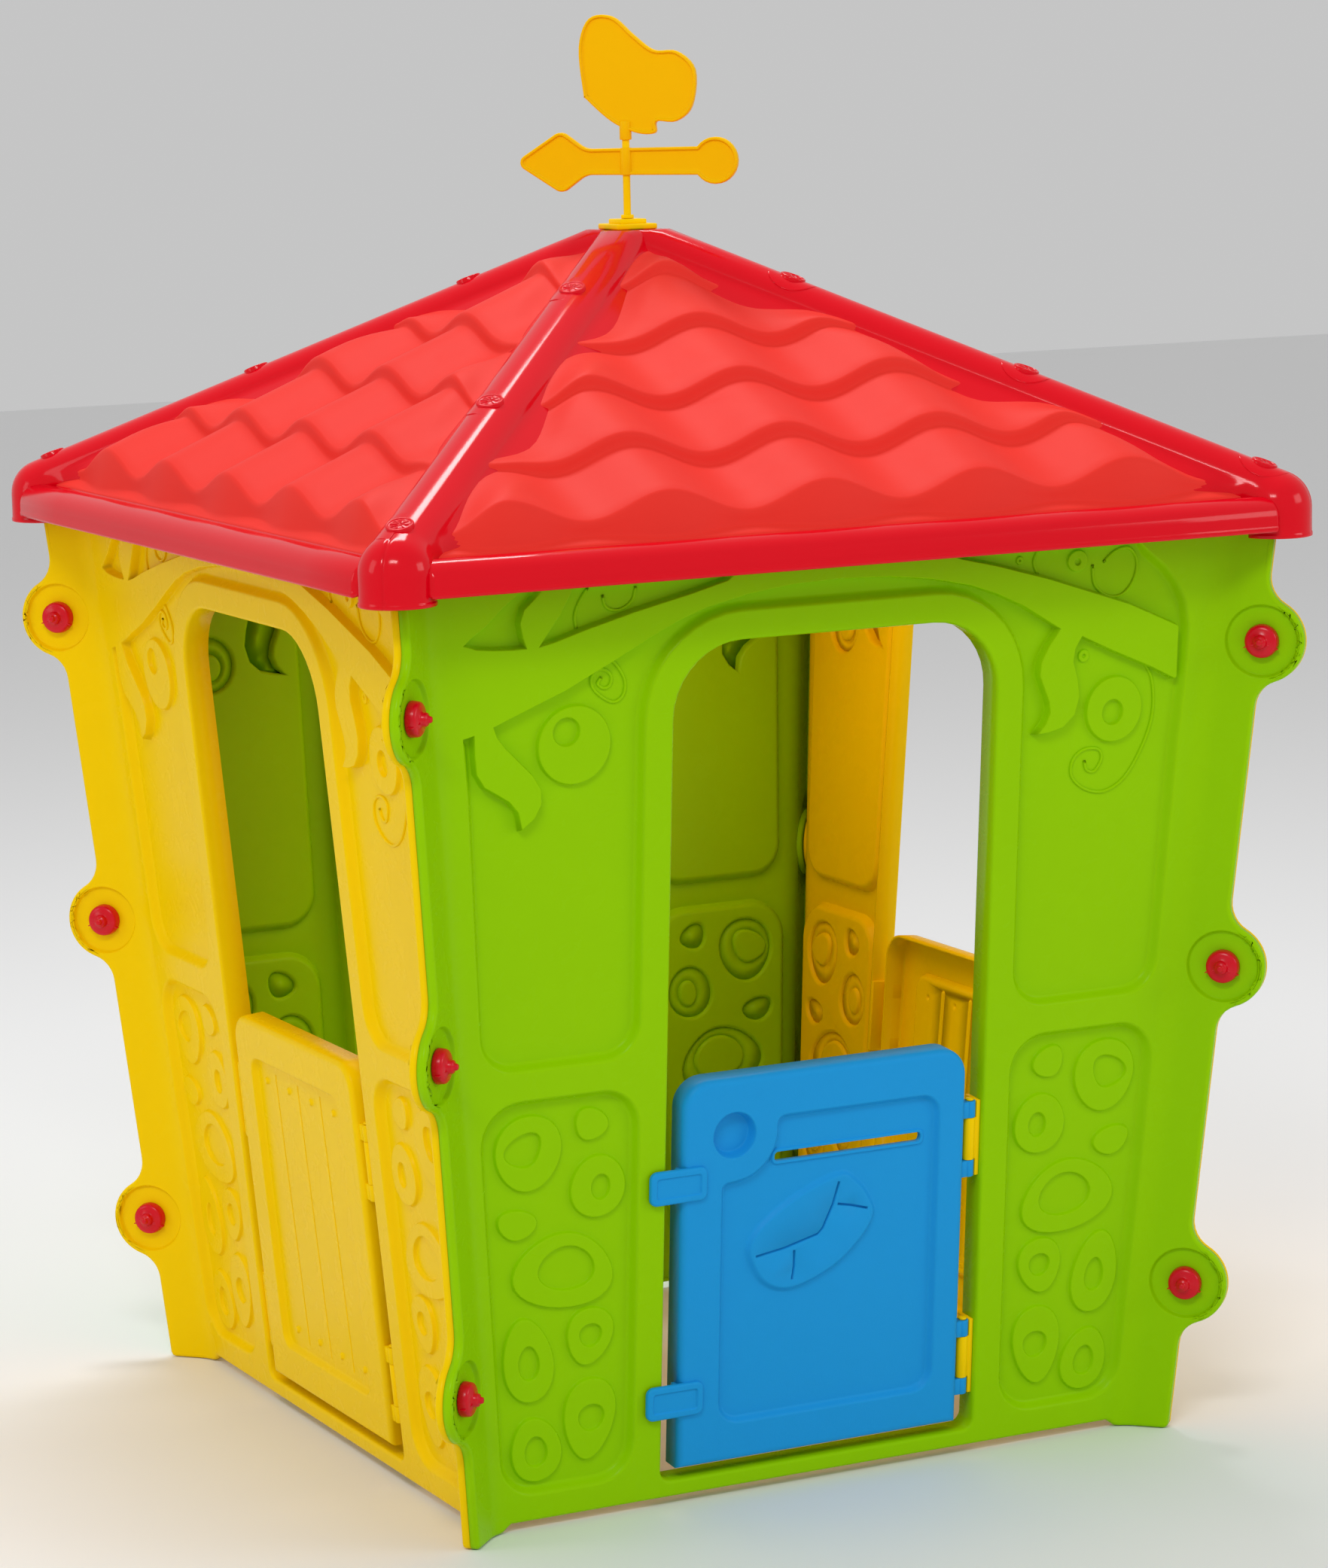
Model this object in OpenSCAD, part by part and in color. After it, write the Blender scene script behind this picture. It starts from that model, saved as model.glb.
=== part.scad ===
// Plastic garden playhouse: four leaning moulded walls bolted together at
// diagonal corner flanges, a four-panel hipped roof, a half-height swinging
// door, three half-height infill panels and a turning weathervane.
// The ground is z = 0, the house stands centred on the Z axis and the
// doorway faces -Y.

/* [House] */
// Half the width across two corner flanges, at the ground
base_half = 414; // [380:1:500]
// Height of the wall tops, where the roof rests
wall_rise = 976; // [800:1:1180]
// Outward lean of every wall, in degrees
lean = 4.93; // [3:0.01:6]
// Thickness of the moulded skin
skin = 4; // [3:0.1:5]
// Gap between parts that only touch
seam = 0.2; // [0.15:0.01:0.4]

/* [Wall] */
// How far a corner flange stands out from the wall plane, along each axis
corner_step = 30.4; // [25:0.1:37]
// Half the width of the opening
opening_half = 185; // [155:1:222]
// Height of the sill under the opening
sill = 26; // [22:1:31]
// Wall left above the opening
head_rail = 71; // [60:1:85]
// Corner radius at the top of the opening
opening_r = 75; // [60:1:90]
// Width of the flat frame around the opening
frame_w = 37; // [31:1:44]
// Depth of the return that lines the opening
jamb_depth = 29; // [26:1:35]
// Depth of the recessed panels
recess_depth = 10; // [6:1:12]
// Distance from a recess to the wall's leaning edge
recess_inset = 36; // [30:1:43]
// Height up the wall of the band between lower and upper recess
band_low = 458; // [382:1:470]
// Height of that band
band_h = 28; // [22:1:34]
// Height of the gap under a wall, between its two feet
foot_gap = 8; // [5:1:10]
// Length of a foot
foot_len = 60; // [50:1:72]

/* [Corner bolts] */
// Radius of a bolt lobe
lobe_r = 45; // [40:1:48]
// Height of the lowest bolt
bolt_low = 163; // [136:1:196]
// Distance from the wall top down to the highest bolt
bolt_drop = 118; // [98:1:142]
// Radius of the bolt shank
bolt_r = 5; // [4:0.1:6]
// Clearance of the shank in its holes
bolt_play = 0.3; // [0.2:0.05:0.5]
// Radius of the nut knob's base
knob_r = 17.5; // [15:0.5:21]

/* [Door and infills] */
// Height of the top edge of door and infills, up the wall
leaf_top = 452; // [400:1:500]
// Gap under door and infills, above the sill
leaf_lift = 12; // [9:1:15]
// Thickness of door and infills at their rim
leaf_depth = 27; // [22:1:32]
// How far the door's face stands proud of the wall
leaf_proud = 3; // [1:0.5:4]
// Corner radius at the top of door and infills
leaf_r = 30; // [24:1:36]
// Width of the rim around the sunk field
leaf_rim = 40; // [33:1:48]
// Depth of the sunk field
field_depth = 7; // [5:1:9]
// Length of the letter slot
slot_len = 171; // [142:1:206]
// Height of the letter slot
slot_h = 7.5; // [6:0.5:9]
// Height of a latch tab
tab_h = 48; // [40:1:58]
// Lap of a latch tab over the wall frame
tab_lap = 20; // [16:1:24]

/* [Hinges] */
// Radius of the hinge pin
pin_r = 3; // [2.5:0.1:3.6]
// Running clearance of the pin in the door's ears
pin_play = 0.06; // [0.04:0.01:0.09]
// Radius of the knuckles
knuckle_r = 6.5; // [5.5:0.1:7]
// Distance of the pin from the side of the opening
pin_inset = 12; // [11:0.5:14]
// Depth of the pin behind the wall face
pin_sink = 8; // [7:0.5:9]
// Length of the clip's knuckle
knuckle_len = 46; // [38:1:55]
// Length of each ear
ear_len = 18; // [15:1:22]
// Height of the lower hinge clip's centre, up the wall
hinge_low = 107; // [100:1:128]
// Height of the upper hinge clip's centre, up the wall
hinge_high = 349; // [300:1:360]

/* [Roof] */
// Overhang of the eave beyond the wall plane at its top
overhang = 68; // [60:1:82]
// Pitch of the roof, in degrees
pitch = 28.4; // [24:0.1:33]
// Radius of the half-round eave beam
beam_r = 21; // [18:1:25]
// Radius of the half-round hip roll
roll_r = 25; // [22:1:28]
// Radius of the rounded corner caps
cap_r = 34; // [30:1:38]
// Number of tile rows
tile_rows = 5; // [4:1:6]
// Height of the step at the foot of a tile row
tile_step = 8; // [6:1:10]
// Radius of the tab around each roof plug
tab_r = 28; // [24:1:32]
// Radius of a roof plug's head
plug_r = 14; // [12:0.5:16]

/* [Weathervane] */
// Side of the square base plate
vane_base_w = 48; // [40:1:58]
// Radius of the pole
pole_r = 4; // [3.3:0.1:4.8]
// Running clearance of the pole in its socket
pole_play = 0.06; // [0.03:0.01:0.09]
// Length of the pole above the base plate
pole_len = 98; // [90:1:118]
// Length of the arrow
arrow_len = 252; // [210:1:300]
// Thickness of arrow and butterfly at the rim
vane_t = 8; // [7:0.5:10]

/* [Hidden] */
$fn = 48;

green = [0.55, 0.77, 0.02];
yellow = [1, 0.88, 0.02];
blue = [0.15, 0.56, 0.80];
red = [0.86, 0.05, 0.12];
tile_red = [0.94, 0.27, 0.22];
amber = [0.96, 0.73, 0.03];

far = 900;                         // larger than the house, for cutting
slope = tan(lean);
wall_half0 = base_half - corner_step;
top_half = wall_half0 + slope * wall_rise;
opening_top = wall_rise - head_rail;
band_high = band_low + band_h;
leaf_bottom = sill + leaf_lift;
frame_half = opening_half + frame_w;
pin_x = opening_half - pin_inset;
strip_t = 4.8;                     // thickness of a hinge clip's strip
strip_sink = 5;                    // its front edge behind the wall face
leaf_edge_gap = pin_inset + 10;    // from opening side to a hinged leaf's edge
latch_gap = 17;                    // from opening side to the door's free edge
lintel_r = 690;                    // radius of the lintel's lower edge
lintel_h = 62;
hinge_len = knuckle_len + 2 * (ear_len + seam);
bolt_step = (wall_rise - bolt_drop - bolt_low) / 2;
bolt_heights = [for (i = [0:2]) bolt_low + i * bolt_step];

eave_half = top_half + overhang;
roof_slope = tan(pitch);
sheet_edge = eave_half - 36;       // where the roof sheet meets the beam
sheet_edge_z = wall_rise + 34;
sheet_apex_z = sheet_edge_z + roof_slope * sheet_edge;
apex_z = sheet_apex_z + 10;        // flat seat of the weathervane base
hip_fall = atan(roof_slope / sqrt(2));
hip_len = sheet_edge * sqrt(2) / cos(hip_fall);
cap_half = eave_half - cap_r - 2;
plug_runs = [0.245, 0.605, 0.963]; // places of the plugs along a hip
pad_t = 4;                         // shelf under a tab
plug_stem_r = 5;

base_plate_h = 6;
base_step_h = 5;
vane_seat_z = apex_z + seam + base_plate_h + base_step_h;
stem_r = 12;
socket_depth = 38;
collar_h = 4;
arrow_z = vane_seat_z + 61;        // centre line of the arrow
arrow_bar_h = 28;
arrow_tail_r = 25;
arrow_head_h = 68;
pole_top_z = vane_seat_z + pole_len;
web_t = 3;                         // sheet between the rims of the vane
rim_w = 2.5;

// ---- outlines -------------------------------------------------------------

function unit(v) = v / norm(v);

// Points of the arc of radius r that rounds corner b between a and c
function fillet(a, b, c, r, steps = 6) =
    r <= 0 ? [b] :
    let (u = unit(a - b), w = unit(c - b), half = acos(u * w) / 2,
         centre = b + unit(u + w) * r / sin(half),
         p = b + u * r / tan(half) - centre,
         q = b + w * r / tan(half) - centre,
         start = atan2(p[1], p[0]),
         turn = (atan2(q[1], q[0]) - start + 900) % 360 - 180)
    [for (i = [0:steps]) let (t = start + turn * i / steps)
        centre + r * [cos(t), sin(t)]];

// Outline through the given corners, each rounded by its own radius
function rounded(corners, radii) =
    let (n = len(corners))
    [for (i = [0:n - 1])
        each fillet(corners[(i + n - 1) % n], corners[i],
                    corners[(i + 1) % n], radii[i])];

// Closed smooth curve through the given points
function spline_point(a, b, c, d, t) =
    0.5 * (2 * b + (c - a) * t + (2 * a - 5 * b + 4 * c - d) * t * t
        + (3 * b - a - 3 * c + d) * t * t * t);
function smooth_loop(pts, steps = 5) =
    let (n = len(pts))
    [for (i = [0:n - 1], j = [0:steps - 1])
        spline_point(pts[(i + n - 1) % n], pts[i], pts[(i + 1) % n],
                     pts[(i + 2) % n], j / steps)];

// Half width of a wall at height v up its slope
function wall_half(v) = wall_half0 + sin(lean) * v;

// Rectangle with rounded top corners (radius r) and bottom corners (radius s)
module arch(left, bottom, right, top, r, s) {
    polygon(rounded([[left, bottom], [right, bottom], [right, top], [left, top]],
                    [s, s, r, r]));
}

// Recess on the right of the opening, grown by g all round
module recess_outline(low, high, r_low, r_high, g = 0) {
    inner = frame_half - g;
    polygon(rounded([
        [inner, low - g], [wall_half(low) - recess_inset + g, low - g],
        [wall_half(high) - recess_inset + g, high + g], [inner, high + g]],
        [r_low + g, r_low + g, r_high + g, r_high + g]));
}

// ---- placing ----------------------------------------------------------------

// Puts children on wall k: X along the wall, Y up its slope, Z outwards
module on_wall(k) {
    rotate([0, 0, 90 * k]) translate([0, -wall_half0, 0])
        rotate([90 + lean, 0, 0]) children();
}

// Puts children in the diagonal plane left of wall k: X outwards along the
// diagonal, Y up, Z towards wall k
module on_corner(k) {
    rotate([0, 0, 90 * k - 135]) rotate([90, 0, 0]) mirror([0, 0, 1]) children();
}

// The quarter of space that belongs to wall or roof panel k
module quarter(k, height) {
    rotate([0, 0, 90 * k]) translate([0, -seam, 0]) linear_extrude(height)
        polygon([[0, 0], [-far, -far], [far, -far]]);
}

module both_sides() {
    children();
    mirror([1, 0, 0]) children();
}

// ---- walls -------------------------------------------------------------------

module recess_shell(low, high, r_low, r_high) {
    translate([0, 0, -recess_depth - skin]) linear_extrude(recess_depth + skin)
        recess_outline(low, high, r_low, r_high, skin);
}

module recess_pocket(low, high, r_low, r_high) {
    translate([0, 0, -recess_depth]) linear_extrude(recess_depth + 1)
        recess_outline(low, high, r_low, r_high);
}

module wall_openings() {
    translate([0, 0, -jamb_depth - 1]) linear_extrude(jamb_depth + 2)
        arch(-opening_half, sill, opening_half, opening_top, opening_r, 10);
    // slots that take the tongues of the hinge clips
    both_sides() for (v = [hinge_low, hinge_high])
        translate([opening_half - 1, v - 15.5, -22.5]) cube([skin + 2, 31, 11]);
}

module wall_sheet() {
    top = wall_rise / cos(lean);
    difference() {
        union() {
            translate([0, 0, -skin]) linear_extrude(skin)
                polygon([[-wall_half(-5), -5], [wall_half(-5), -5],
                         [wall_half(top) + 1, top + 5], [-wall_half(top) - 1, top + 5]]);
            both_sides() recess_shell(sill + 8, band_low, 45, 45);
            both_sides() recess_shell(band_high, top - 20, 45, 10);
            // return lining the opening
            translate([0, 0, -jamb_depth]) linear_extrude(jamb_depth)
                arch(-opening_half - skin, sill - skin, opening_half + skin,
                     opening_top + skin, opening_r + skin, 10 + skin);
        }
        both_sides() recess_pocket(sill + 8, band_low, 45, 45);
        both_sides() recess_pocket(band_high, top - 20, 45, 10);
        wall_openings();
    }
}

// Arched lintel beam laid over the upper recesses, with cut plank ends
module lintel() {
    low_v = opening_top + 55;
    end_x = wall_half(low_v) - recess_inset - 3;
    intersection() {
        translate([0, low_v - lintel_r, -recess_depth - 1])
            linear_extrude(recess_depth + 3) difference() {
                circle(lintel_r + lintel_h, $fn = 180);
                circle(lintel_r, $fn = 180);
            }
        translate([-end_x, low_v - 170, -recess_depth - 1])
            cube([2 * end_x, 190, recess_depth + 3]);
    }
}

// Raised ring beside the opening
module ring_relief(x, v, r, hole) {
    translate([x, v, -recess_depth - 1]) difference() {
        cylinder(h = 6, r = r);
        translate([0, 0, 1.5]) cylinder(h = 6, r = hole);
    }
}

// Diagonal flange with its three bolt lobes
module corner_flange() {
    r2 = sqrt(2);
    linear_extrude(skin)
        polygon([[r2 * (wall_half0 - 6), 0], [r2 * base_half, 0],
                 [r2 * (base_half + slope * wall_rise), wall_rise],
                 [r2 * (top_half - 6), wall_rise]]);
    for (z = bolt_heights) translate([r2 * (base_half + slope * z), z, 0]) {
        cylinder(h = skin, r = lobe_r);
        difference() {
            cylinder(h = skin + 5, r = lobe_r);
            translate([0, 0, skin]) cylinder(h = 6, r = lobe_r - 5);
            // the rim stops where the wall's outer face passes
            translate([-lobe_r - 1, -lobe_r - 1, skin]) cube([lobe_r, 2 * lobe_r + 2, 6]);
        }
    }
}

module bolt_holes() {
    for (z = bolt_heights) translate([sqrt(2) * (base_half + slope * z), z, -1])
        cylinder(h = skin + 2, r = bolt_r + bolt_play);
}

module wall(k) {
    difference() {
        intersection() {
            union() {
                on_wall(k) {
                    wall_sheet();
                    difference() {
                        union() {
                            lintel();
                            ring_relief(-300, band_high + 340, 44, 16);
                            ring_relief(303, band_high + 314, 38, 14);
                        }
                        wall_openings();
                    }
                }
                // ledge that carries the roof
                rotate([0, 0, 90 * k]) translate([-top_half, -top_half + 1, wall_rise - skin])
                    cube([2 * top_half, 24, skin]);
            }
            quarter(k, wall_rise);
        }
        // gap under the wall, between its feet
        rotate([0, 0, 90 * k]) translate([-base_half + foot_len, -far, -1])
            cube([2 * (base_half - foot_len), far, foot_gap + 1]);
    }
    on_corner(k) translate([0, 0, seam]) difference() {
        corner_flange();
        bolt_holes();
    }
    rotate([0, 0, 90 * k]) mirror([1, 0, 0]) rotate([0, 0, -90 * k])
        on_corner(k) translate([0, 0, seam]) difference() {
            corner_flange();
            bolt_holes();
        }
}

module wall_front() { color(green) wall(0); }
module wall_right() { color(yellow) wall(1); }
module wall_back() { color(green) wall(2); }
module wall_left() { color(yellow) wall(3); }

// ---- door and infills ---------------------------------------------------------

// Moulded tray: rim, sunk field and open back, from x = left to right
module leaf_shell(left, right) {
    front = leaf_proud;
    back = leaf_proud - leaf_depth;
    difference() {
        union() {
            difference() {
                translate([0, 0, back]) linear_extrude(leaf_depth)
                    arch(left, leaf_bottom, right, leaf_top, leaf_r, 4);
                translate([0, 0, back - 1]) linear_extrude(leaf_depth - skin + 1)
                    arch(left + skin, leaf_bottom + skin, right - skin,
                         leaf_top - skin, leaf_r - skin, 2);
            }
            translate([0, 0, front - field_depth - skin])
                linear_extrude(field_depth + skin)
                    arch(left + leaf_rim - skin, leaf_bottom + leaf_rim - skin,
                         right - leaf_rim + skin, leaf_top - leaf_rim + skin, 24, 24);
        }
        translate([0, 0, front - field_depth]) linear_extrude(field_depth + 1)
            arch(left + leaf_rim, leaf_bottom + leaf_rim, right - leaf_rim,
                 leaf_top - leaf_rim, 20, 20);
    }
}

// Pair of ears on the right edge of a leaf, around the hinge at height v
module ears(v, edge) {
    for (up = [0, 1]) translate([pin_x, v, -pin_sink]) mirror([0, up, 0])
        translate([0, knuckle_len / 2 + seam, 0]) rotate([-90, 0, 0]) difference() {
            union() {
                cylinder(h = ear_len, r = knuckle_r);
                translate([edge - pin_x - skin + 0.5, -knuckle_r, 0])
                    cube([pin_x - edge + skin - 0.5, 2 * knuckle_r, ear_len]);
            }
            translate([0, 0, -1]) cylinder(h = ear_len + 2, r = pin_r + pin_play);
        }
}

// Flat latch tab that laps over the wall frame on the door's free side
module latch_tab(v) {
    left = -opening_half - tab_lap;
    right = -opening_half + latch_gap + 28;
    translate([0, 0, leaf_proud - 0.5]) linear_extrude(4.5)
        polygon(rounded([[left, v - tab_h / 2], [right, v - tab_h / 2],
                         [right, v + tab_h / 2], [left, v + tab_h / 2]],
                        [6, 6, 6, 6]));
    // thick root that carries the tab back to the door's rim
    translate([-opening_half + latch_gap + 0.5, v - tab_h / 2 + 4, -10])
        cube([20, tab_h - 8, 12]);
    // lap that comes down to the wall frame
    translate([left + 4, v - tab_h / 2 + 4, seam + 0.1])
        cube([tab_lap - 6, tab_h - 8, leaf_proud]);
}

// Envelope-shaped relief in the middle of the door
module envelope_relief() {
    translate([0, 0, leaf_proud - field_depth - 1]) linear_extrude(5)
        polygon(smooth_loop([[-93, 262], [-62, 300], [10, 337], [45, 322],
                             [62, 284], [40, 245], [-30, 211], [-72, 228]], 6));
}

module door_body() {
    left = -opening_half + latch_gap;
    right = opening_half - leaf_edge_gap;
    slot_v = leaf_top - 92;
    dish = [left + 59, leaf_top - 61];
    difference() {
        union() {
            leaf_shell(left, right);
            for (v = [hinge_low, hinge_high]) ears(v, right);
            // round dish in the upper corner, breaking into the field
            translate([dish[0], dish[1], leaf_proud - 16]) cylinder(h = 16, r = 37);
            envelope_relief();
            // raised lip around the letter slot
            translate([-62, slot_v - 6, leaf_proud - field_depth - 1])
                cube([slot_len + 6, slot_h + 6, 3.5]);
        }
        translate([dish[0], dish[1], leaf_proud - 12]) cylinder(h = 13, r = 23);
        translate([-59, slot_v - 3, -leaf_depth]) cube([slot_len, slot_h, 2 * leaf_depth]);
    }
    latch_tab(hinge_low + 6);
    latch_tab(hinge_high - 5);
}

module door() { color(blue) on_wall(0) door_body(); }

module infill_body() {
    edge = opening_half - leaf_edge_gap;
    planks = 4;
    field_half = edge - leaf_rim;
    groove_w = 3;
    difference() {
        union() {
            leaf_shell(-edge, edge);
            both_sides() for (v = [hinge_low, hinge_high]) ears(v, edge);
        }
        // slanting grooves between the planks
        for (i = [1:planks - 1])
            translate([-field_half + i * 2 * field_half / planks - groove_w / 2,
                       leaf_bottom + leaf_rim + 6, leaf_proud - field_depth - 2])
                rotate([0, 0, 1.5])
                    cube([groove_w, leaf_top - leaf_bottom - 2 * leaf_rim - 12, 4]);
    }
    // nail heads along the top and the bottom of the planks
    for (i = [0:planks - 1], v = [leaf_bottom + leaf_rim + 26, leaf_top - leaf_rim - 26])
        translate([-field_half + (i + 0.5) * 2 * field_half / planks, v,
                   leaf_proud - field_depth - 0.5])
            cylinder(h = 3, r = 5);
}

module infill_right() { color(yellow) on_wall(1) infill_body(); }
module infill_back() { color(green) on_wall(2) infill_body(); }
module infill_left() { color(yellow) on_wall(3) infill_body(); }

// Clip on the right side of the opening, its knuckle between two ears
module hinge_clip(v) {
    strip_x = opening_half - seam - strip_t;
    difference() {
        union() {
            translate([strip_x, v - hinge_len / 2, -jamb_depth])
                cube([strip_t, hinge_len, jamb_depth - strip_sink]);
            translate([pin_x, v + knuckle_len / 2, -pin_sink]) rotate([90, 0, 0])
                cylinder(h = knuckle_len, r = knuckle_r);
            translate([pin_x, v - knuckle_len / 2, -pin_sink - knuckle_r])
                cube([strip_x - pin_x + 1, knuckle_len, knuckle_r + 3]);
            // tongue through the slot in the jamb
            translate([strip_x + 1, v - 15, -22]) cube([strip_t + skin + 2, 30, 10]);
        }
        translate([pin_x, v + hinge_len, -pin_sink]) rotate([90, 0, 0])
            cylinder(h = 2 * hinge_len, r = pin_r + 0.02);
    }
}

module hinge_pin(v) {
    translate([pin_x, v, -pin_sink]) rotate([-90, 0, 0]) {
        translate([0, 0, -hinge_len / 2]) cylinder(h = hinge_len + 1, r = pin_r);
        // head that stops the pin from dropping through
        translate([0, 0, hinge_len / 2 + seam]) cylinder(h = 2, r = pin_r + 1.5);
    }
}

module door_hinge_clips() {
    color(yellow) on_wall(0) for (v = [hinge_low, hinge_high]) hinge_clip(v);
}
module door_hinge_pins() {
    color(yellow) on_wall(0) for (v = [hinge_low, hinge_high]) hinge_pin(v);
}
module infill_clips(k) {
    on_wall(k) both_sides() for (v = [hinge_low, hinge_high]) hinge_clip(v);
}
module infill_pins(k) {
    on_wall(k) both_sides() for (v = [hinge_low, hinge_high]) hinge_pin(v);
}
module infill_clips_right() { color(yellow) infill_clips(1); }
module infill_clips_back() { color(yellow) infill_clips(2); }
module infill_clips_left() { color(yellow) infill_clips(3); }
module infill_pins_right() { color(yellow) infill_pins(1); }
module infill_pins_back() { color(yellow) infill_pins(2); }
module infill_pins_left() { color(yellow) infill_pins(3); }

// ---- corner bolts -----------------------------------------------------------

nut_gap = 0.3;
nut_face = seam + skin + nut_gap;  // where a nut or head meets its flange

// Three bolts of corner k, with their nuts on the side of wall k when side = 1
module at_bolts(k, side) {
    on_corner(k) for (z = bolt_heights)
        translate([sqrt(2) * (base_half + slope * z), z, 0])
            mirror([0, 0, side < 0 ? 1 : 0]) children();
}

module corner_bolts(k, side) {
    color(red) at_bolts(k, side) {
        translate([0, 0, -nut_face - 4]) cylinder(h = 4, r = 15);
        translate([0, 0, -nut_face - 7]) cylinder(h = 4, r = 9);
        translate([0, 0, -nut_face - 1]) cylinder(h = 2 * nut_face + 13, r = bolt_r);
    }
}

module knob_nuts(k, side) {
    color(red) at_bolts(k, side) translate([0, 0, nut_face]) difference() {
        union() {
            rotate_extrude() polygon([
                [0, 0], [knob_r, 0], [knob_r, 4], [knob_r - 3, 6], [10, 9],
                [8.5, 15], [5, 19], [3.5, 23], [0, 23]]);
            translate([-14, -1.5, 4]) cube([10, 3, 9]);
            translate([4, -1.5, 4]) cube([10, 3, 9]);
        }
        translate([0, 0, -1]) cylinder(h = 14, r = bolt_r + 0.05);
    }
}

module corner_bolts_front_left() { corner_bolts(0, 1); }
module corner_bolts_front_right() { corner_bolts(1, -1); }
module corner_bolts_back_right() { corner_bolts(2, 1); }
module corner_bolts_back_left() { corner_bolts(3, 1); }
module knob_nuts_front_left() { knob_nuts(0, 1); }
module knob_nuts_front_right() { knob_nuts(1, -1); }
module knob_nuts_back_right() { knob_nuts(2, 1); }
module knob_nuts_back_left() { knob_nuts(3, 1); }

// ---- roof ------------------------------------------------------------------

// Lays the profile's X outwards from the centre line and its Y up, and
// extrudes it along the eave of panel 0
module along_eave() {
    translate([far, 0, 0]) rotate([90, 0, -90]) linear_extrude(2 * far) children();
}

// Height of the roof sheet's top at distance r from the centre line
function sheet_z(r) = sheet_apex_z - roof_slope * r;

module sheet_profile() {
    drop = skin / cos(pitch);
    polygon([[0, sheet_z(0)], [sheet_edge, sheet_z(sheet_edge)],
             [sheet_edge, sheet_z(sheet_edge) - drop], [0, sheet_z(0) - drop]]);
}

// Hollow half-round beam, its lip, and the ledge that rests on the wall
module beam_profile() {
    centre = [eave_half - beam_r, wall_rise + beam_r];
    difference() {
        union() {
            translate(centre) circle(beam_r);
            translate([eave_half - 2 * beam_r, wall_rise])
                square([2 * beam_r, beam_r]);
        }
        translate(centre) circle(beam_r - skin);
        translate([eave_half - 2 * beam_r + skin, wall_rise - 1])
            square([2 * (beam_r - skin), beam_r + 1]);
    }
    translate([top_half - 22, wall_rise + seam])
        square([eave_half - 2 * beam_r + skin - top_half + 22, skin]);
    // riser from beam to sheet
    translate([eave_half - 2 * beam_r, wall_rise + 10])
        square([skin, sheet_edge_z - wall_rise - 10 + 1]);
}

// Stepped tile courses, thinner towards the top of each course
module tile_profile() {
    run = (sheet_edge - 30) / tile_rows;
    for (i = [0:tile_rows - 1]) {
        r0 = 18 + i * run;
        polygon([[r0, sheet_z(r0) - 1], [r0, sheet_z(r0) + 0.5],
                 [r0 + run, sheet_z(r0 + run) + tile_step],
                 [r0 + run, sheet_z(r0 + run) - 1]]);
    }
}

// Puts children on the hip left of panel 0: Z runs down the hip from the apex
// and X points up, square to the hip
module on_hip() {
    rotate([0, 0, -135]) translate([0, 0, sheet_apex_z - 4])
        rotate([0, 90 + hip_fall, 0]) mirror([1, 0, 0]) children();
}

module hip_tube(outer, inner) {
    on_hip() difference() {
        cylinder(h = hip_len, r = outer);
        translate([0, 0, -1]) cylinder(h = hip_len + 2, r = inner);
    }
}

// Everything below the tops of the two sheets beside the left hip
module below_sheets(lift) {
    for (k = [0, 3]) rotate([0, 0, 90 * k]) along_eave()
        polygon([[0, sheet_z(0) + lift], [far, sheet_z(far) + lift],
                 [far, -far], [0, -far]]);
}

// Upright discs around the plug places on the left hip
module at_plugs() {
    on_hip() for (run = plug_runs)
        translate([0, 0, run * hip_len]) rotate([0, 90, 0]) children();
}

// Hollow corner cap under the left hip's lower end
module corner_cap() {
    cap_low = wall_rise - 8;
    cap_top = sheet_edge_z - 8;
    translate([-cap_half, -cap_half, 0]) difference() {
        union() {
            translate([0, 0, cap_low]) cylinder(h = cap_top - cap_low, r = cap_r);
            translate([0, 0, cap_top]) sphere(cap_r);
        }
        translate([0, 0, cap_low - 1]) cylinder(h = cap_top - cap_low + 1, r = cap_r - skin);
        translate([0, 0, cap_top]) sphere(cap_r - skin);
    }
}

// Region outside the wall corner, where the cap may hang down
module cap_clear() {
    translate([-sheet_edge - 8, -sheet_edge - 8, wall_rise - 20])
        cube([sheet_edge + 8, sheet_edge + 8, 42]);
}

module roof_sheets() {
    intersection() {
        union() {
            along_eave() sheet_profile();
            along_eave() beam_profile();
        }
        quarter(0, 2 * far);
    }
    // tile field, kept clear of both hips
    intersection() {
        along_eave() tile_profile();
        translate([0, -62, 0]) quarter(0, 2 * far);
    }
}

// Both hip edges of panel 0: half rolls with tabs on the left hip only
module hip_edges() {
    intersection() {
        union() {
            difference() {
                hip_tube(roll_r, roll_r - skin);
                below_sheets(-1);
            }
            corner_cap_solid();
        }
        quarter(0, 2 * far);
    }
}

module corner_cap_solid() {
    difference() {
        corner_cap();
        cap_clear();
        below_sheets(-1);
    }
}

// Holes and head seats of the roof plugs
module plug_seats() {
    at_plugs() {
        cylinder(h = 2 * roll_r, r = plug_stem_r + bolt_play);
        translate([0, 0, roll_r + seam / 2]) cylinder(h = roll_r, r = plug_r + bolt_play);
    }
}

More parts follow.
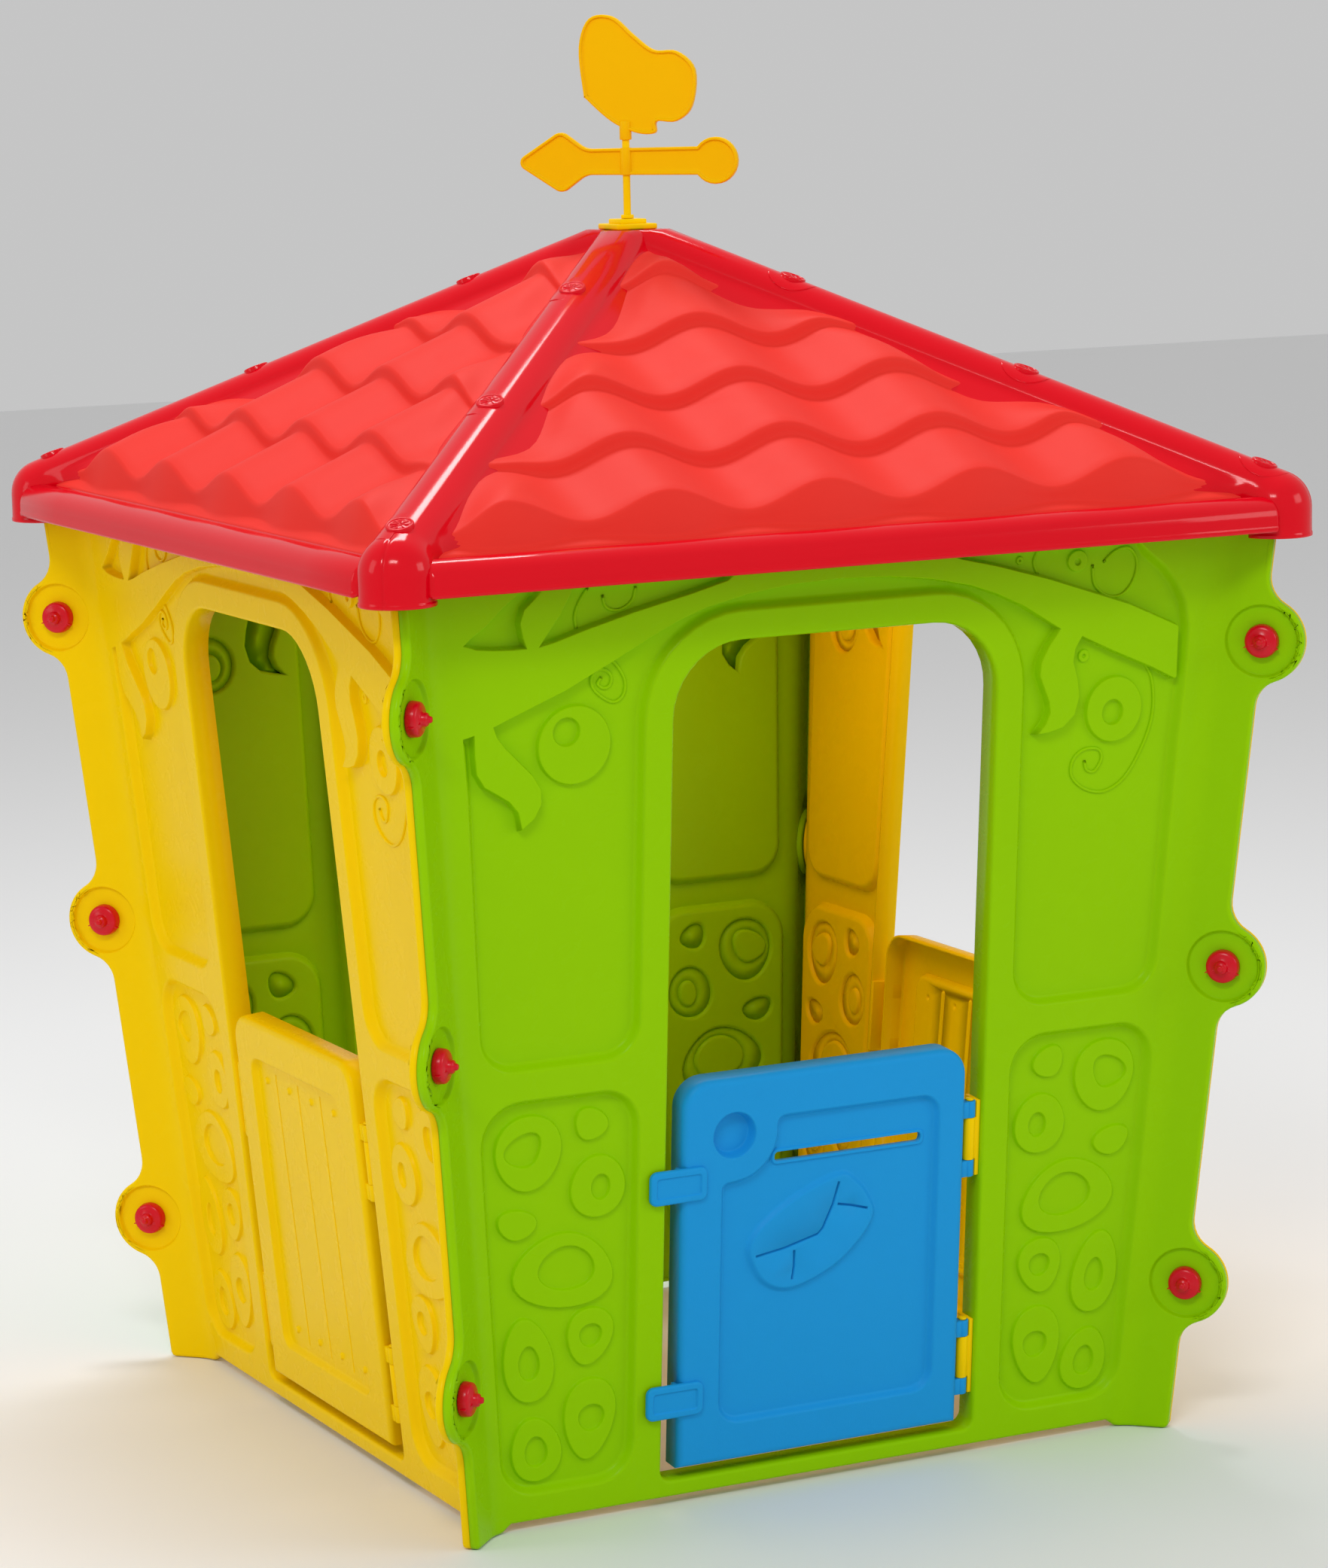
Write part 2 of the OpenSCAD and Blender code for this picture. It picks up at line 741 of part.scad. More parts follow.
module roof_panel() {
    difference() {
        union() {
            roof_sheets();
            hip_edges();
            mirror([1, 0, 0]) difference() {
                hip_edges();
                // room for the neighbour's tabs
                mirror([1, 0, 0]) rotate([0, 0, 90])
                    at_plugs() cylinder(h = 2 * roll_r, r = tab_r + seam);
            }
            // shelf under the neighbour's tabs
            rotate([0, 0, 90]) intersection() {
                difference() {
                    hip_tube(roll_r - skin + 0.15, roll_r - skin - pad_t);
                    below_sheets(-1);
                }
                at_plugs() cylinder(h = 2 * roll_r, r = tab_r + 5);
                quarter(3, 2 * far);
            }
            // tabs that reach over the neighbour's shelf
            intersection() {
                difference() {
                    hip_tube(roll_r, roll_r - skin + 0.3);
                    below_sheets(1);
                }
                at_plugs() cylinder(h = 2 * roll_r, r = tab_r);
            }
        }
        plug_seats();
        rotate([0, 0, 90]) plug_seats();
        // seat and stem hole of the weathervane base
        translate([0, 0, apex_z]) cylinder(h = 100, r = 100);
        cylinder(h = 2 * far, r = stem_r + 0.4);
    }
}

module roof_front() { color(red) roof_panel(); }
module roof_right() { color(red) rotate([0, 0, 90]) roof_panel(); }
module roof_back() { color(red) rotate([0, 0, 180]) roof_panel(); }
module roof_left() { color(red) rotate([0, 0, 270]) roof_panel(); }

module roof_plugs(k) {
    color(red) rotate([0, 0, 90 * k]) at_plugs() {
        translate([0, 0, roll_r + 0.3]) cylinder(h = 3, r = plug_r);
        translate([0, 0, 8]) cylinder(h = roll_r - 6, r = plug_stem_r);
    }
}
module roof_plugs_front_left() { roof_plugs(0); }
module roof_plugs_front_right() { roof_plugs(1); }
module roof_plugs_back_right() { roof_plugs(2); }
module roof_plugs_back_left() { roof_plugs(3); }

// ---- weathervane -----------------------------------------------------------

module square_plate(side, z, h) {
    translate([0, 0, z]) linear_extrude(h)
        polygon(rounded([[-side / 2, -side / 2], [side / 2, -side / 2],
                         [side / 2, side / 2], [-side / 2, side / 2]], [5, 5, 5, 5]));
}

module vane_base() {
    color(yellow) difference() {
        union() {
            square_plate(vane_base_w, apex_z + seam, base_plate_h);
            square_plate(vane_base_w - 17, apex_z + seam + base_plate_h - 0.5,
                         base_step_h + 0.5);
            translate([0, 0, vane_seat_z - socket_depth - 4])
                cylinder(h = socket_depth + 4, r = stem_r);
        }
        translate([0, 0, vane_seat_z - socket_depth])
            cylinder(h = socket_depth + 1, r = pole_r + pole_play);
    }
}

module vane_pole() {
    color(yellow) {
        translate([0, 0, vane_seat_z - socket_depth + 0.5])
            cylinder(h = pole_top_z - vane_seat_z + socket_depth - 0.5, r = pole_r);
        translate([0, 0, vane_seat_z + 0.3]) cylinder(h = collar_h, r = pole_r + 3);
    }
}

// Stands a flat outline upright on the diagonal, with a rim around a thin web
module upright(z) {
    translate([0, 0, z]) rotate([0, 0, -45]) rotate([90, 0, 0]) children();
}

module sleeve(low, high) {
    translate([0, 0, low]) cylinder(h = high - low, r = pole_r + 2.5);
}

function arrow_outline(g) =
    let (tip = -arrow_len / 2 - 1, head = tip + 54, neck = tip + 82,
         hb = arrow_bar_h / 2 - g, hh = arrow_head_h / 2 - g)
    rounded([[tip + g * 1.4, 0], [head, -hh], [neck, -hb], [arrow_len / 2 - 46, -hb],
             [arrow_len / 2 - 46, hb], [neck, hb], [head, hh]],
            [8, 12, 24, 2, 2, 24, 12]);

module arrow_shape(g) {
    polygon(arrow_outline(g));
    translate([arrow_len / 2 - arrow_tail_r + 1, 0]) circle(arrow_tail_r - g);
}

module vane_arrow() {
    color(amber) difference() {
        union() {
            upright(arrow_z) {
                translate([0, 0, -vane_t / 2]) linear_extrude(vane_t) difference() {
                    arrow_shape(0);
                    arrow_shape(rim_w);
                }
                translate([0, 0, -web_t / 2]) linear_extrude(web_t) arrow_shape(0.5);
            }
            sleeve(arrow_z - arrow_bar_h / 2 - 0.6, arrow_z + arrow_bar_h / 2 + 0.6);
        }
        cylinder(h = 3 * far, r = pole_r + 0.02);
    }
}

// Side view of a butterfly with folded wings, scaled about its middle
module butterfly_shape(s) {
    translate([14, 68]) scale(s) translate([-14, -68])
        polygon(smooth_loop([[-46, 40], [-50, 88], [-38, 118], [-12, 120], [12, 100],
                             [34, 84], [60, 82], [80, 62], [76, 24], [58, 8],
                             [36, 8], [34, -4], [14, -4], [-14, 8], [-42, 32]], 5));
}

module vane_butterfly() {
    low = pole_top_z - 14;
    color(amber) difference() {
        union() {
            upright(pole_top_z - 3) {
                translate([0, 0, -vane_t / 2]) linear_extrude(vane_t) difference() {
                    butterfly_shape(1);
                    butterfly_shape(0.955);
                }
                translate([0, 0, -web_t / 2]) linear_extrude(web_t) butterfly_shape(0.99);
            }
            sleeve(low, pole_top_z + 6);
        }
        translate([0, 0, low - 1]) cylinder(h = pole_top_z - low + 1.3, r = pole_r + 0.02);
    }
}

wall_front();
wall_right();
wall_back();
wall_left();
door();
door_hinge_clips();
door_hinge_pins();
infill_right();
infill_back();
infill_left();
infill_clips_right();
infill_clips_back();
infill_clips_left();
infill_pins_right();
infill_pins_back();
infill_pins_left();
corner_bolts_front_left();
corner_bolts_front_right();
corner_bolts_back_right();
corner_bolts_back_left();
knob_nuts_front_left();
knob_nuts_front_right();
knob_nuts_back_right();
knob_nuts_back_left();
roof_front();
roof_right();
roof_back();
roof_left();
roof_plugs_front_left();
roof_plugs_front_right();
roof_plugs_back_right();
roof_plugs_back_left();
vane_base();
vane_pole();
vane_arrow();
vane_butterfly();
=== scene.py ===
"""Moulded garden playhouse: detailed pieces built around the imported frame.

Lengths in the modelling functions are millimetres; meshes are scaled to
metres when a piece is finished. A wall is drawn flat, with x along the wall,
v up its slope and n outwards, then folded at its corners and stood up.
"""

import math

import bmesh
import bpy
from bpy.props import FloatProperty, FloatVectorProperty, PointerProperty
from mathutils import Matrix, Vector


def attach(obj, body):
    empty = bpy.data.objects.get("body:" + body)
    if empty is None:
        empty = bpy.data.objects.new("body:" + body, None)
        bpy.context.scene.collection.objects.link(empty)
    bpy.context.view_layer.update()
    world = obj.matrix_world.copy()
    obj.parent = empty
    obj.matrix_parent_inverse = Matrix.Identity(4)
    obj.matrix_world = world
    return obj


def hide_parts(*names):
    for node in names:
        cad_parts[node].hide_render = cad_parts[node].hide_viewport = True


bl_info = {
    "name": "Garden Playhouse",
    "version": (1, 0, 0),
    "blender": (4, 5, 0),
    "location": "View3D > Sidebar > Playhouse",
    "description": "Builds the moulded pieces of a garden playhouse",
    "category": "Add Mesh",
}

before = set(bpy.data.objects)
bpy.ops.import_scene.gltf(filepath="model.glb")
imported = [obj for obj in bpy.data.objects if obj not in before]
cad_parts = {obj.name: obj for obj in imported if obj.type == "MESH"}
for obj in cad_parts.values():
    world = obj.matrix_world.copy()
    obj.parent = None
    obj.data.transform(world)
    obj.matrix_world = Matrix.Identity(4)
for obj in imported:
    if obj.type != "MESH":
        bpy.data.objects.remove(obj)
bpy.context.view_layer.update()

MM = 0.001
SIDES = ("front", "right", "back", "left")
CORNERS = ("front_left", "front_right", "back_right", "back_left")

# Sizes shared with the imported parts
LEAN = math.radians(4.93)
SIN, COS, RISE = math.sin(LEAN), math.cos(LEAN), math.tan(LEAN)
BASE_HALF = 414
WALL_HALF = 383.6
WALL_TOP = 976
OPENING_HALF, SILL, OPENING_TOP = 185, 26, 905
BOLT_HEIGHTS = (163, 510.5, 858)
LEAF_BOTTOM, LEAF_TOP, LEAF_HALF = 38, 452, 163
LEAF_PROUD = 3
HINGE_HEIGHTS = (107, 349)
PIN_X, PIN_SINK, PIN_R = 173, 8, 3
KNUCKLE_R = 6.5
CLIP_HALF = 23            # half the height of a clip's barrel
EAR_HEIGHT, EAR_GAP = 18, 0.2
EAVE_HALF = 535.788
ROOF_SLOPE = math.tan(math.radians(28.4))
HIP_FALL = math.atan(ROOF_SLOPE / math.sqrt(2))
SHEET_EDGE = EAVE_HALF - 36
SHEET_APEX = WALL_TOP + 34 + ROOF_SLOPE * SHEET_EDGE
HIP_LENGTH = SHEET_EDGE * math.sqrt(2) / math.cos(HIP_FALL)
PLUG_RUNS = (0.245, 0.605, 0.963)
APEX = SHEET_APEX + 10
VANE_SEAT = APEX + 11.2
POLE_TOP = VANE_SEAT + 98
ARROW_Z = VANE_SEAT + 61

UP = Vector((0, 0, 1))
OUT = Vector((-1, -1, 0)).normalized()      # away from the axis, over the front left corner
ACROSS = Vector((1, -1, 0)).normalized()    # square to OUT, towards the front


# ---- settings -----------------------------------------------------------------

def shade(red, green, blue):
    """Scene colour of a display colour given in 0 to 255."""
    def linear(c):
        c /= 255
        return c / 12.92 if c <= 0.04045 else ((c + 0.055) / 1.055) ** 2.4
    return linear(red), linear(green), linear(blue)


def colour_property(label, red, green, blue):
    return FloatVectorProperty(name=label, description=f"Colour of the {label.lower()}",
                               subtype="COLOR", size=3, min=0, max=1,
                               default=shade(red, green, blue))


def length_property(label, description, default, **limits):
    return FloatProperty(name=label, description=description, default=default * MM,
                         unit="LENGTH", subtype="DISTANCE", **limits)


class PlayhouseColours(bpy.types.PropertyGroup):
    """Colours of the moulded plastics"""
    green: colour_property("Green walls", 149, 206, 0)
    yellow: colour_property("Yellow walls", 250, 210, 0)
    clip: colour_property("Hinge clips", 255, 212, 0)
    blue: colour_property("Door", 28, 154, 224)
    fastener: colour_property("Bolts and knobs", 214, 0, 28)
    roof: colour_property("Roof edges", 224, 0, 24)
    tile: colour_property("Roof tiles", 237, 55, 45)
    vane: colour_property("Weathervane", 252, 196, 0)


class PlayhouseSizes(bpy.types.PropertyGroup):
    """Sizes of the moulded details"""
    skin: length_property("Skin", "Thickness of the moulded sheets", 3)
    recess: length_property("Recess depth", "Depth of the sunk wall panels", 10)
    pebble: length_property("Stone height", "Height of the raised stones", 4)
    tile_wave: length_property("Tile wave", "Height of a tile's crest above its trough", 25)
    tile_step: length_property("Tile step", "Height of the step at the foot of a row", 12)


def mm(value):
    """A length setting in millimetres."""
    return value / MM


# ---- outlines -------------------------------------------------------------------

def eased(t):
    """Soft ramp from 0 to 1."""
    t = max(0.0, min(1.0, t))
    return t * t * (3 - 2 * t)


def rounded(corners, steps=6):
    """Outline with each corner (x, y, radius) rounded."""
    points = []
    count = len(corners)
    for i, (x, y, r) in enumerate(corners):
        here = Vector((x, y))
        if r <= 0:
            points.append((x, y))
            continue
        back = (Vector(corners[i - 1][:2]) - here).normalized()
        ahead = (Vector(corners[(i + 1) % count][:2]) - here).normalized()
        half = math.acos(max(-1, min(1, back.dot(ahead)))) / 2
        centre = here + (back + ahead).normalized() * r / math.sin(half)
        start = here + back * r / math.tan(half) - centre
        end = here + ahead * r / math.tan(half) - centre
        turn = math.atan2(start.x * end.y - start.y * end.x, start.dot(end))
        for j in range(steps + 1):
            a = turn * j / steps
            points.append((centre.x + start.x * math.cos(a) - start.y * math.sin(a),
                           centre.y + start.x * math.sin(a) + start.y * math.cos(a)))
    return points


def tray(left, bottom, right, top, radius, steps):
    """Upright rectangle with four like corners."""
    return rounded([(left, bottom, radius), (right, bottom, radius), (right, top, radius),
                    (left, top, radius)], steps)


def curve_point(a, b, c, d, t):
    """Point at t between b and c on the smooth curve through all four."""
    return tuple(0.5 * (2 * q + (r - p) * t + (2 * p - 5 * q + 4 * r - s) * t * t
                        + (3 * q - p - 3 * r + s) * t ** 3)
                 for p, q, r, s in zip(a, b, c, d))


def smooth_loop(points, steps=5):
    """Closed smooth curve through the points."""
    n = len(points)
    return [curve_point(points[i - 1], points[i], points[(i + 1) % n], points[(i + 2) % n],
                        j / steps) for i in range(n) for j in range(steps)]


def smooth_line(points, steps=5):
    """Open smooth curve through the points."""
    full = [points[0], *points, points[-1]]
    line = [curve_point(*full[i:i + 4], j / steps)
            for i in range(len(points) - 1) for j in range(steps)]
    return line + [points[-1]]


def egg(x, y, half_wide, half_high, turn=0, fat=0, count=32):
    """Egg-shaped outline, wider at its top where fat is above 0."""
    turn = math.radians(turn)
    points = []
    for i in range(count):
        a = 2 * math.pi * i / count
        px = half_wide * math.cos(a) * (1 + fat * math.sin(a))
        py = half_high * math.sin(a)
        points.append((x + px * math.cos(turn) - py * math.sin(turn),
                       y + px * math.sin(turn) + py * math.cos(turn)))
    return points


def stroke(points, half):
    """Outline of a line drawn with that half width."""
    line = [Vector(p) for p in points]
    left, right = [], []
    for i, p in enumerate(line):
        along = (line[min(i + 1, len(line) - 1)] - line[max(i - 1, 0)]).normalized()
        off = Vector((-along.y, along.x)) * half
        left.append(tuple(p + off))
        right.append(tuple(p - off))
    return right + left[::-1]


def flipped(points):
    """The outline mirrored across x = 0, still anticlockwise."""
    return [(-p[0], *p[1:]) for p in reversed(points)]


def inset(points, distance, spread=None):
    """The closed anticlockwise outline moved inwards by distance.

    spread scales the distance point by point."""
    moved = []
    count = len(points)
    for i in range(count):
        a, b, c = (Vector(points[j % count][:2]) for j in (i - 1, i, i + 1))
        n1, n2 = (Vector((p.y - q.y, q.x - p.x)).normalized() for p, q in ((a, b), (b, c)))
        scale = distance * (spread[i] if spread else 1) / max(0.35, 1 + n1.dot(n2))
        moved.append((b.x + (n1.x + n2.x) * scale, b.y + (n1.y + n2.y) * scale))
    return moved


def slope(start, end, width, steps=6, rim=0.8):
    """Soft step from one height to another across a band of that width."""
    rings = [(0, start), (rim, start)]
    for i in range(1, steps + 1):
        t = i / steps
        rings.append((rim + width * t,
                      start + (end - start) * (0.5 - 0.5 * math.cos(math.pi * t))))
    return rings + [(2 * rim + width, end)]


def rolled(height, radius, depth, steps=5, rim=1.2):
    """Rounded outer edge: from depth at the outline up to the face."""
    rings = [(0, height - depth)]
    for i in range(steps + 1):
        a = math.pi / 2 * i / steps
        rings.append((radius * (1 - math.cos(a)), height - radius * (1 - math.sin(a))))
    return rings + [(radius + rim, height)]


# ---- moulded sheets ---------------------------------------------------------------

def face_up(bm):
    """Make the faces agree, then turn them all if the sheet faces down."""
    bmesh.ops.recalc_face_normals(bm, faces=bm.faces)
    if sum(f.normal.z * f.calc_area() for f in bm.faces) < 0:
        bmesh.ops.reverse_faces(bm, faces=bm.faces)
    return bm


def on_leaf(x, v, n):
    """From a leaf's flat drawing to the front wall; n = 0 is the wall's face."""
    return x, -(WALL_HALF + SIN * v + n * COS), v * COS - n * SIN


def placed(bm, mapping=on_leaf):
    """Move each point of bm through the mapping."""
    for v in bm.verts:
        v.co = mapping(*v.co)
    return bm


class Sheet:
    """A moulded sheet drawn flat: rings of bands with the faces filled between."""

    def __init__(self):
        self.bm = bmesh.new()

    def ring(self, points, profile, spread=None):
        """Bands along an outline, one edge loop for each (inset, height).

        Gives the first and last edge loops."""
        bm = self.bm
        verts = [bm.verts.new((*p, profile[0][1]))
                 for p in inset(points, profile[0][0], spread)]
        edges = [bm.edges.new((verts[i - 1], verts[i])) for i in range(len(verts))]
        first = edges
        for distance, height in profile[1:]:
            made = bmesh.ops.extrude_edge_only(bm, edges=edges)["geom"]
            fresh = {v for v in made if isinstance(v, bmesh.types.BMVert)}
            verts = [next(e.other_vert(v) for e in v.link_edges if e.other_vert(v) in fresh)
                     for v in verts]
            for v, p in zip(verts, inset(points, distance, spread)):
                v.co = (*p, height)
            loop = set(verts)
            edges = [e for e in made if isinstance(e, bmesh.types.BMEdge)
                     and e.verts[0] in loop and e.verts[1] in loop]
        return first, edges

    def fill(self, *loops):
        """Flat face inside the first loop and round the others."""
        bmesh.ops.triangle_fill(self.bm, use_beauty=True,
                                edges=[e for loop in loops for e in loop])

    def raised(self, points, low, high, width, hole=None):
        """Raised shape with its top filled, round a sunk (outline, height) if one is given.

        Gives the edge loop at its foot."""
        foot, top = self.ring(points, slope(low, high, width))
        if hole:
            rim, floor = self.ring(hole[0], slope(high, hole[1], width))
            self.fill(top, rim)
            self.fill(floor)
        else:
            self.fill(top)
        return foot

    def cut(self, point, normal):
        """Crease the sheet along a plane."""
        bm = self.bm
        bmesh.ops.bisect_plane(bm, geom=bm.verts[:] + bm.edges[:] + bm.faces[:], dist=0.01,
                               plane_co=point, plane_no=normal)

    def place(self, mapping):
        """Face everything outwards, then move each point through the mapping."""
        return placed(face_up(self.bm), mapping)


def finish(bm, name, material, body, nodes, skin=0, turns=0):
    """Turn a bmesh in millimetres into a finished piece in metres, a quarter turn per wall."""
    turn = Matrix.Rotation(turns * math.pi / 2, 4, "Z")
    bmesh.ops.transform(bm, verts=bm.verts, matrix=turn @ Matrix.Scale(MM, 4))
    mesh = bpy.data.meshes.new(name)
    bm.to_mesh(mesh)
    bm.free()
    mesh.shade_smooth()
    piece = bpy.data.objects.new(name, mesh)
    bpy.context.scene.collection.objects.link(piece)
    mesh.materials.append(material)
    if skin:
        shell = piece.modifiers.new("Skin", "SOLIDIFY")
        shell.thickness, shell.offset = skin * MM, -1
    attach(piece, body)
    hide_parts(*nodes)


def merge(bm, other):
    """Add a copy of another bmesh's faces to bm."""
    mesh = bpy.data.meshes.new("part")
    other.to_mesh(mesh)
    bm.from_mesh(mesh)
    bpy.data.meshes.remove(mesh)
    other.free()


def box_shape(low, high, bevel, segments):
    """Box between two corners with rounded edges."""
    bm = bmesh.new()
    bmesh.ops.create_cube(bm, size=1)
    bmesh.ops.scale(bm, verts=bm.verts, vec=[h - l for l, h in zip(low, high)])
    bmesh.ops.translate(bm, verts=bm.verts, vec=[(h + l) / 2 for l, h in zip(low, high)])
    bmesh.ops.bevel(bm, geom=bm.edges[:], offset=bevel, segments=segments, profile=0.5,
                    affect="EDGES", material=-1)
    return bm


def lathe(profile, steps=48):
    """Surface turned round the Z axis from (radius, height) points, bottom up."""
    bm = bmesh.new()
    verts = [bm.verts.new((max(r, 0), 0, z)) for r, z in profile]
    edges = [bm.edges.new(pair) for pair in zip(verts, verts[1:])]
    bmesh.ops.spin(bm, geom=verts + edges, cent=(0, 0, 0), axis=(0, 0, 1),
                   angle=2 * math.pi, steps=steps, use_merge=True)
    bmesh.ops.remove_doubles(bm, verts=bm.verts, dist=0.001)
    bmesh.ops.recalc_face_normals(bm, faces=bm.faces)
    return bm


def rod(start, end, radius, bevel, steps=32, hole=0):
    """Round rod between two points, or a tube if it has a hole."""
    start, end = Vector(start), Vector(end)
    length = (end - start).length
    profile = [(radius - bevel, 0), (radius - 0.3 * bevel, 0.3 * bevel), (radius, bevel),
               (radius, length - bevel), (radius - 0.3 * bevel, length - 0.3 * bevel),
               (radius - bevel, length)]
    if hole:
        profile = [(hole, 0)] + profile + [(hole, length), (hole, 0)]
    else:
        profile = [(0, 0)] + profile + [(0, length)]
    bm = lathe(profile, steps)
    turn = Vector((0, 0, 1)).rotation_difference(end - start).to_matrix().to_4x4()
    bmesh.ops.transform(bm, verts=bm.verts, matrix=Matrix.Translation(start) @ turn)
    return bm


def bead(points, radius):
    """Half-sunk round bead along a line drawn on the sheet."""
    line = smooth_line(points, 4)
    curve = bpy.data.curves.new("bead", "CURVE")
    curve.dimensions, curve.bevel_depth, curve.bevel_resolution = "3D", radius, 2
    curve.use_fill_caps = True
    spline = curve.splines.new("POLY")
    spline.points.add(len(line) - 1)
    for p, q in zip(spline.points, line):
        p.co = (*q, 1)
    holder = bpy.data.objects.new("bead", curve)
    bpy.context.scene.collection.objects.link(holder)
    bm = bmesh.new()
    mesh = bpy.data.meshes.new_from_object(holder)
    bm.from_mesh(mesh)
    bpy.data.meshes.remove(mesh)
    bpy.data.objects.remove(holder)
    bpy.data.curves.remove(curve)
    return bm


# ---- plastics ---------------------------------------------------------------------

class Value:
    """A value inside a material; sums on it add Math nodes."""

    def __init__(self, paint, socket):
        self.paint, self.socket = paint, socket

    def _sum(self, operation, a, b):
        return self.paint.node("ShaderNodeMath", {"operation": operation}, {0: a, 1: b})

    def __add__(self, other):
        return self._sum("ADD", self, other)

    def __radd__(self, other):
        return self._sum("ADD", other, self)

    def __sub__(self, other):
        return self._sum("SUBTRACT", self, other)

    def __rsub__(self, other):
        return self._sum("SUBTRACT", other, self)

    def __mul__(self, other):
        return self._sum("MULTIPLY", self, other)

    def __rmul__(self, other):
        return self._sum("MULTIPLY", other, self)


class Paint:
    """A material and the one method that adds its nodes."""

    def __init__(self, name):
        self.material = bpy.data.materials.new(name)
        self.material.use_nodes = True
        self.tree = self.material.node_tree
        self.shader = next(n for n in self.tree.nodes if n.type == "BSDF_PRINCIPLED")

    def node(self, kind, settings=None, inputs=None, out=0):
        """New node: its settings first, then the values or links of its sockets."""
        made = self.tree.nodes.new(kind)
        for key, value in (settings or {}).items():
            if key == "stops":
                ramp = made.color_ramp.elements
                while len(ramp) < len(value):
                    ramp.new(0.5)
                for element, (place, level) in zip(ramp, value):
                    element.position, element.color = place, (level, level, level, 1)
            else:
                setattr(made, key, value)
        for key, value in (inputs or {}).items():
            self.feed(made.inputs[key], value)
        return Value(self, made.outputs[out])

    def feed(self, socket, value):
        """Link or set one socket."""
        if isinstance(value, Value):
            self.tree.links.new(value.socket, socket)
        elif socket.type == "RGBA" and len(value) == 3:
            socket.default_value = (*value, 1)
        else:
            socket.default_value = value

    def set(self, **inputs):
        """Feed the shader's own sockets, with _ for a space in a name."""
        for key, value in inputs.items():
            self.feed(self.shader.inputs[key.replace("_", " ")], value)


def plastic(name, colour, gloss=0.27, grain=0.0, peel=0.12, shine=0.05):
    """Moulded plastic: slow colour drift, orange-peel ripple and, where asked, a fine
    sandy grain; faint rub marks change its gloss."""
    paint = Paint(name)
    place = paint.node("ShaderNodeTexCoord", out=3)

    def noise(scale, detail=2.0, rough=0.5, warp=0.0):
        return paint.node("ShaderNodeTexNoise", {}, {
            "Vector": place, "Scale": scale, "Detail": detail, "Roughness": rough,
            "Distortion": warp})

    drift = noise(3.2, 3.0)
    mottle = noise(38.0, 3.0, 0.6)
    rub = noise(26.0, 5.0, 0.65, 0.6)
    mix = (drift * 0.7 + mottle * 0.3 - 0.34) * 2.4
    darker = tuple(c * 0.956 for c in colour)
    tint = paint.node("ShaderNodeMix", {"data_type": "RGBA", "clamp_factor": True},
                      {0: mix, 6: darker, 7: colour}, out=2)
    marks = paint.node("ShaderNodeValToRGB", {"stops": [(0.52, 0.0), (0.72, 1.0)]}, {0: rub})
    height = noise(150.0, 1.0) * (0.00006 * peel)
    if grain:
        height = height + noise(1500.0, 2.0, 0.7) * (0.00012 * grain)
        height = height + noise(520.0, 2.0, 0.6) * (0.0001 * grain)
    bump = paint.node("ShaderNodeBump", {}, {"Strength": 0.9, "Distance": 1.0,
                                            "Height": height})
    paint.set(Base_Color=tint, Roughness=marks * 0.03 + gloss, Normal=bump,
              Specular_IOR_Level=shine)
    return paint.material


PLASTICS = {}


def plastics():
    """The shared materials, made once."""
    if not PLASTICS:
        finishes = {
            "green": ("Green wall plastic", {}),
            "yellow": ("Yellow wall plastic", {}),
            "clip": ("Clip plastic", {"gloss": 0.3}),
            "blue": ("Blue door plastic", {"gloss": 0.42, "shine": 0.1, "grain": 1.0,
                                           "peel": 0.35}),
            "fastener": ("Fastener plastic", {"gloss": 0.24, "shine": 0.3}),
            "roof": ("Glossy roof plastic", {"gloss": 0.12, "shine": 0.22, "peel": 0.3}),
            "tile": ("Tile plastic", {"gloss": 0.5, "shine": 0.08, "grain": 0.8,
                                      "peel": 0.35}),
            "vane": ("Vane plastic", {"gloss": 0.28}),
        }
        colours = bpy.context.scene.playhouse_colours
        for key, (name, looks) in finishes.items():
            PLASTICS[key] = plastic(name, tuple(getattr(colours, key)), **looks)
    return PLASTICS


# ---- walls ------------------------------------------------------------------------

FLANGE_STAND = 9.2   # flange face from the diagonal plane
FLANGE_SPAN = 43.0   # flange edge from the corner, along the diagonal
BEND_R = 40.0
BEND_TAN = BEND_R * math.tan(math.pi / 8)
BEND_START = FLANGE_STAND * math.sqrt(2) + BEND_TAN
BEND_LENGTH = BEND_R * math.pi / 4
FLANGE_FLAT = FLANGE_SPAN + FLANGE_STAND - BEND_TAN
EDGE_X = BEND_LENGTH + FLANGE_FLAT - BEND_START   # flat drawing's edge past the corner
SHEAR = (math.sqrt(2) - 1) * RISE
LOBE_R, NECK_R = 45, 32
CRATER_R, CRATER_DEPTH = 40, 5.2
SOFT, CRISP = 1.0, 0.3    # shares of a recess edge's full width
STONE_EDGE, STONE_BED = 2.4, 0.2


def wall_half(v):
    """Half the wall's width, corner to corner, at height v up its slope."""
    return WALL_HALF + SIN * v


def stand_up(x, v, n):
    """From the flat drawing of a wall to the front wall's place."""
    side = 1 if x >= 0 else -1
    w = wall_half(v)
    s = abs(x) - (w - BEND_START)
    if s <= 0:
        return x, -(w + n * COS), v * COS - n * SIN
    turn = min(s / BEND_R, math.pi / 4)
    rest = max(0.0, s - BEND_LENGTH) * math.sqrt(0.5)
    lean = LEAN * (1 - turn / (math.pi / 4))
    out = w - BEND_START + BEND_R * math.sin(turn) + rest - n * math.sin(turn) * math.cos(lean)
    deep = w + BEND_R * (1 - math.cos(turn)) + rest + n * math.cos(turn) * math.cos(lean)
    return side * out, -deep, v * COS - n * math.sin(lean)


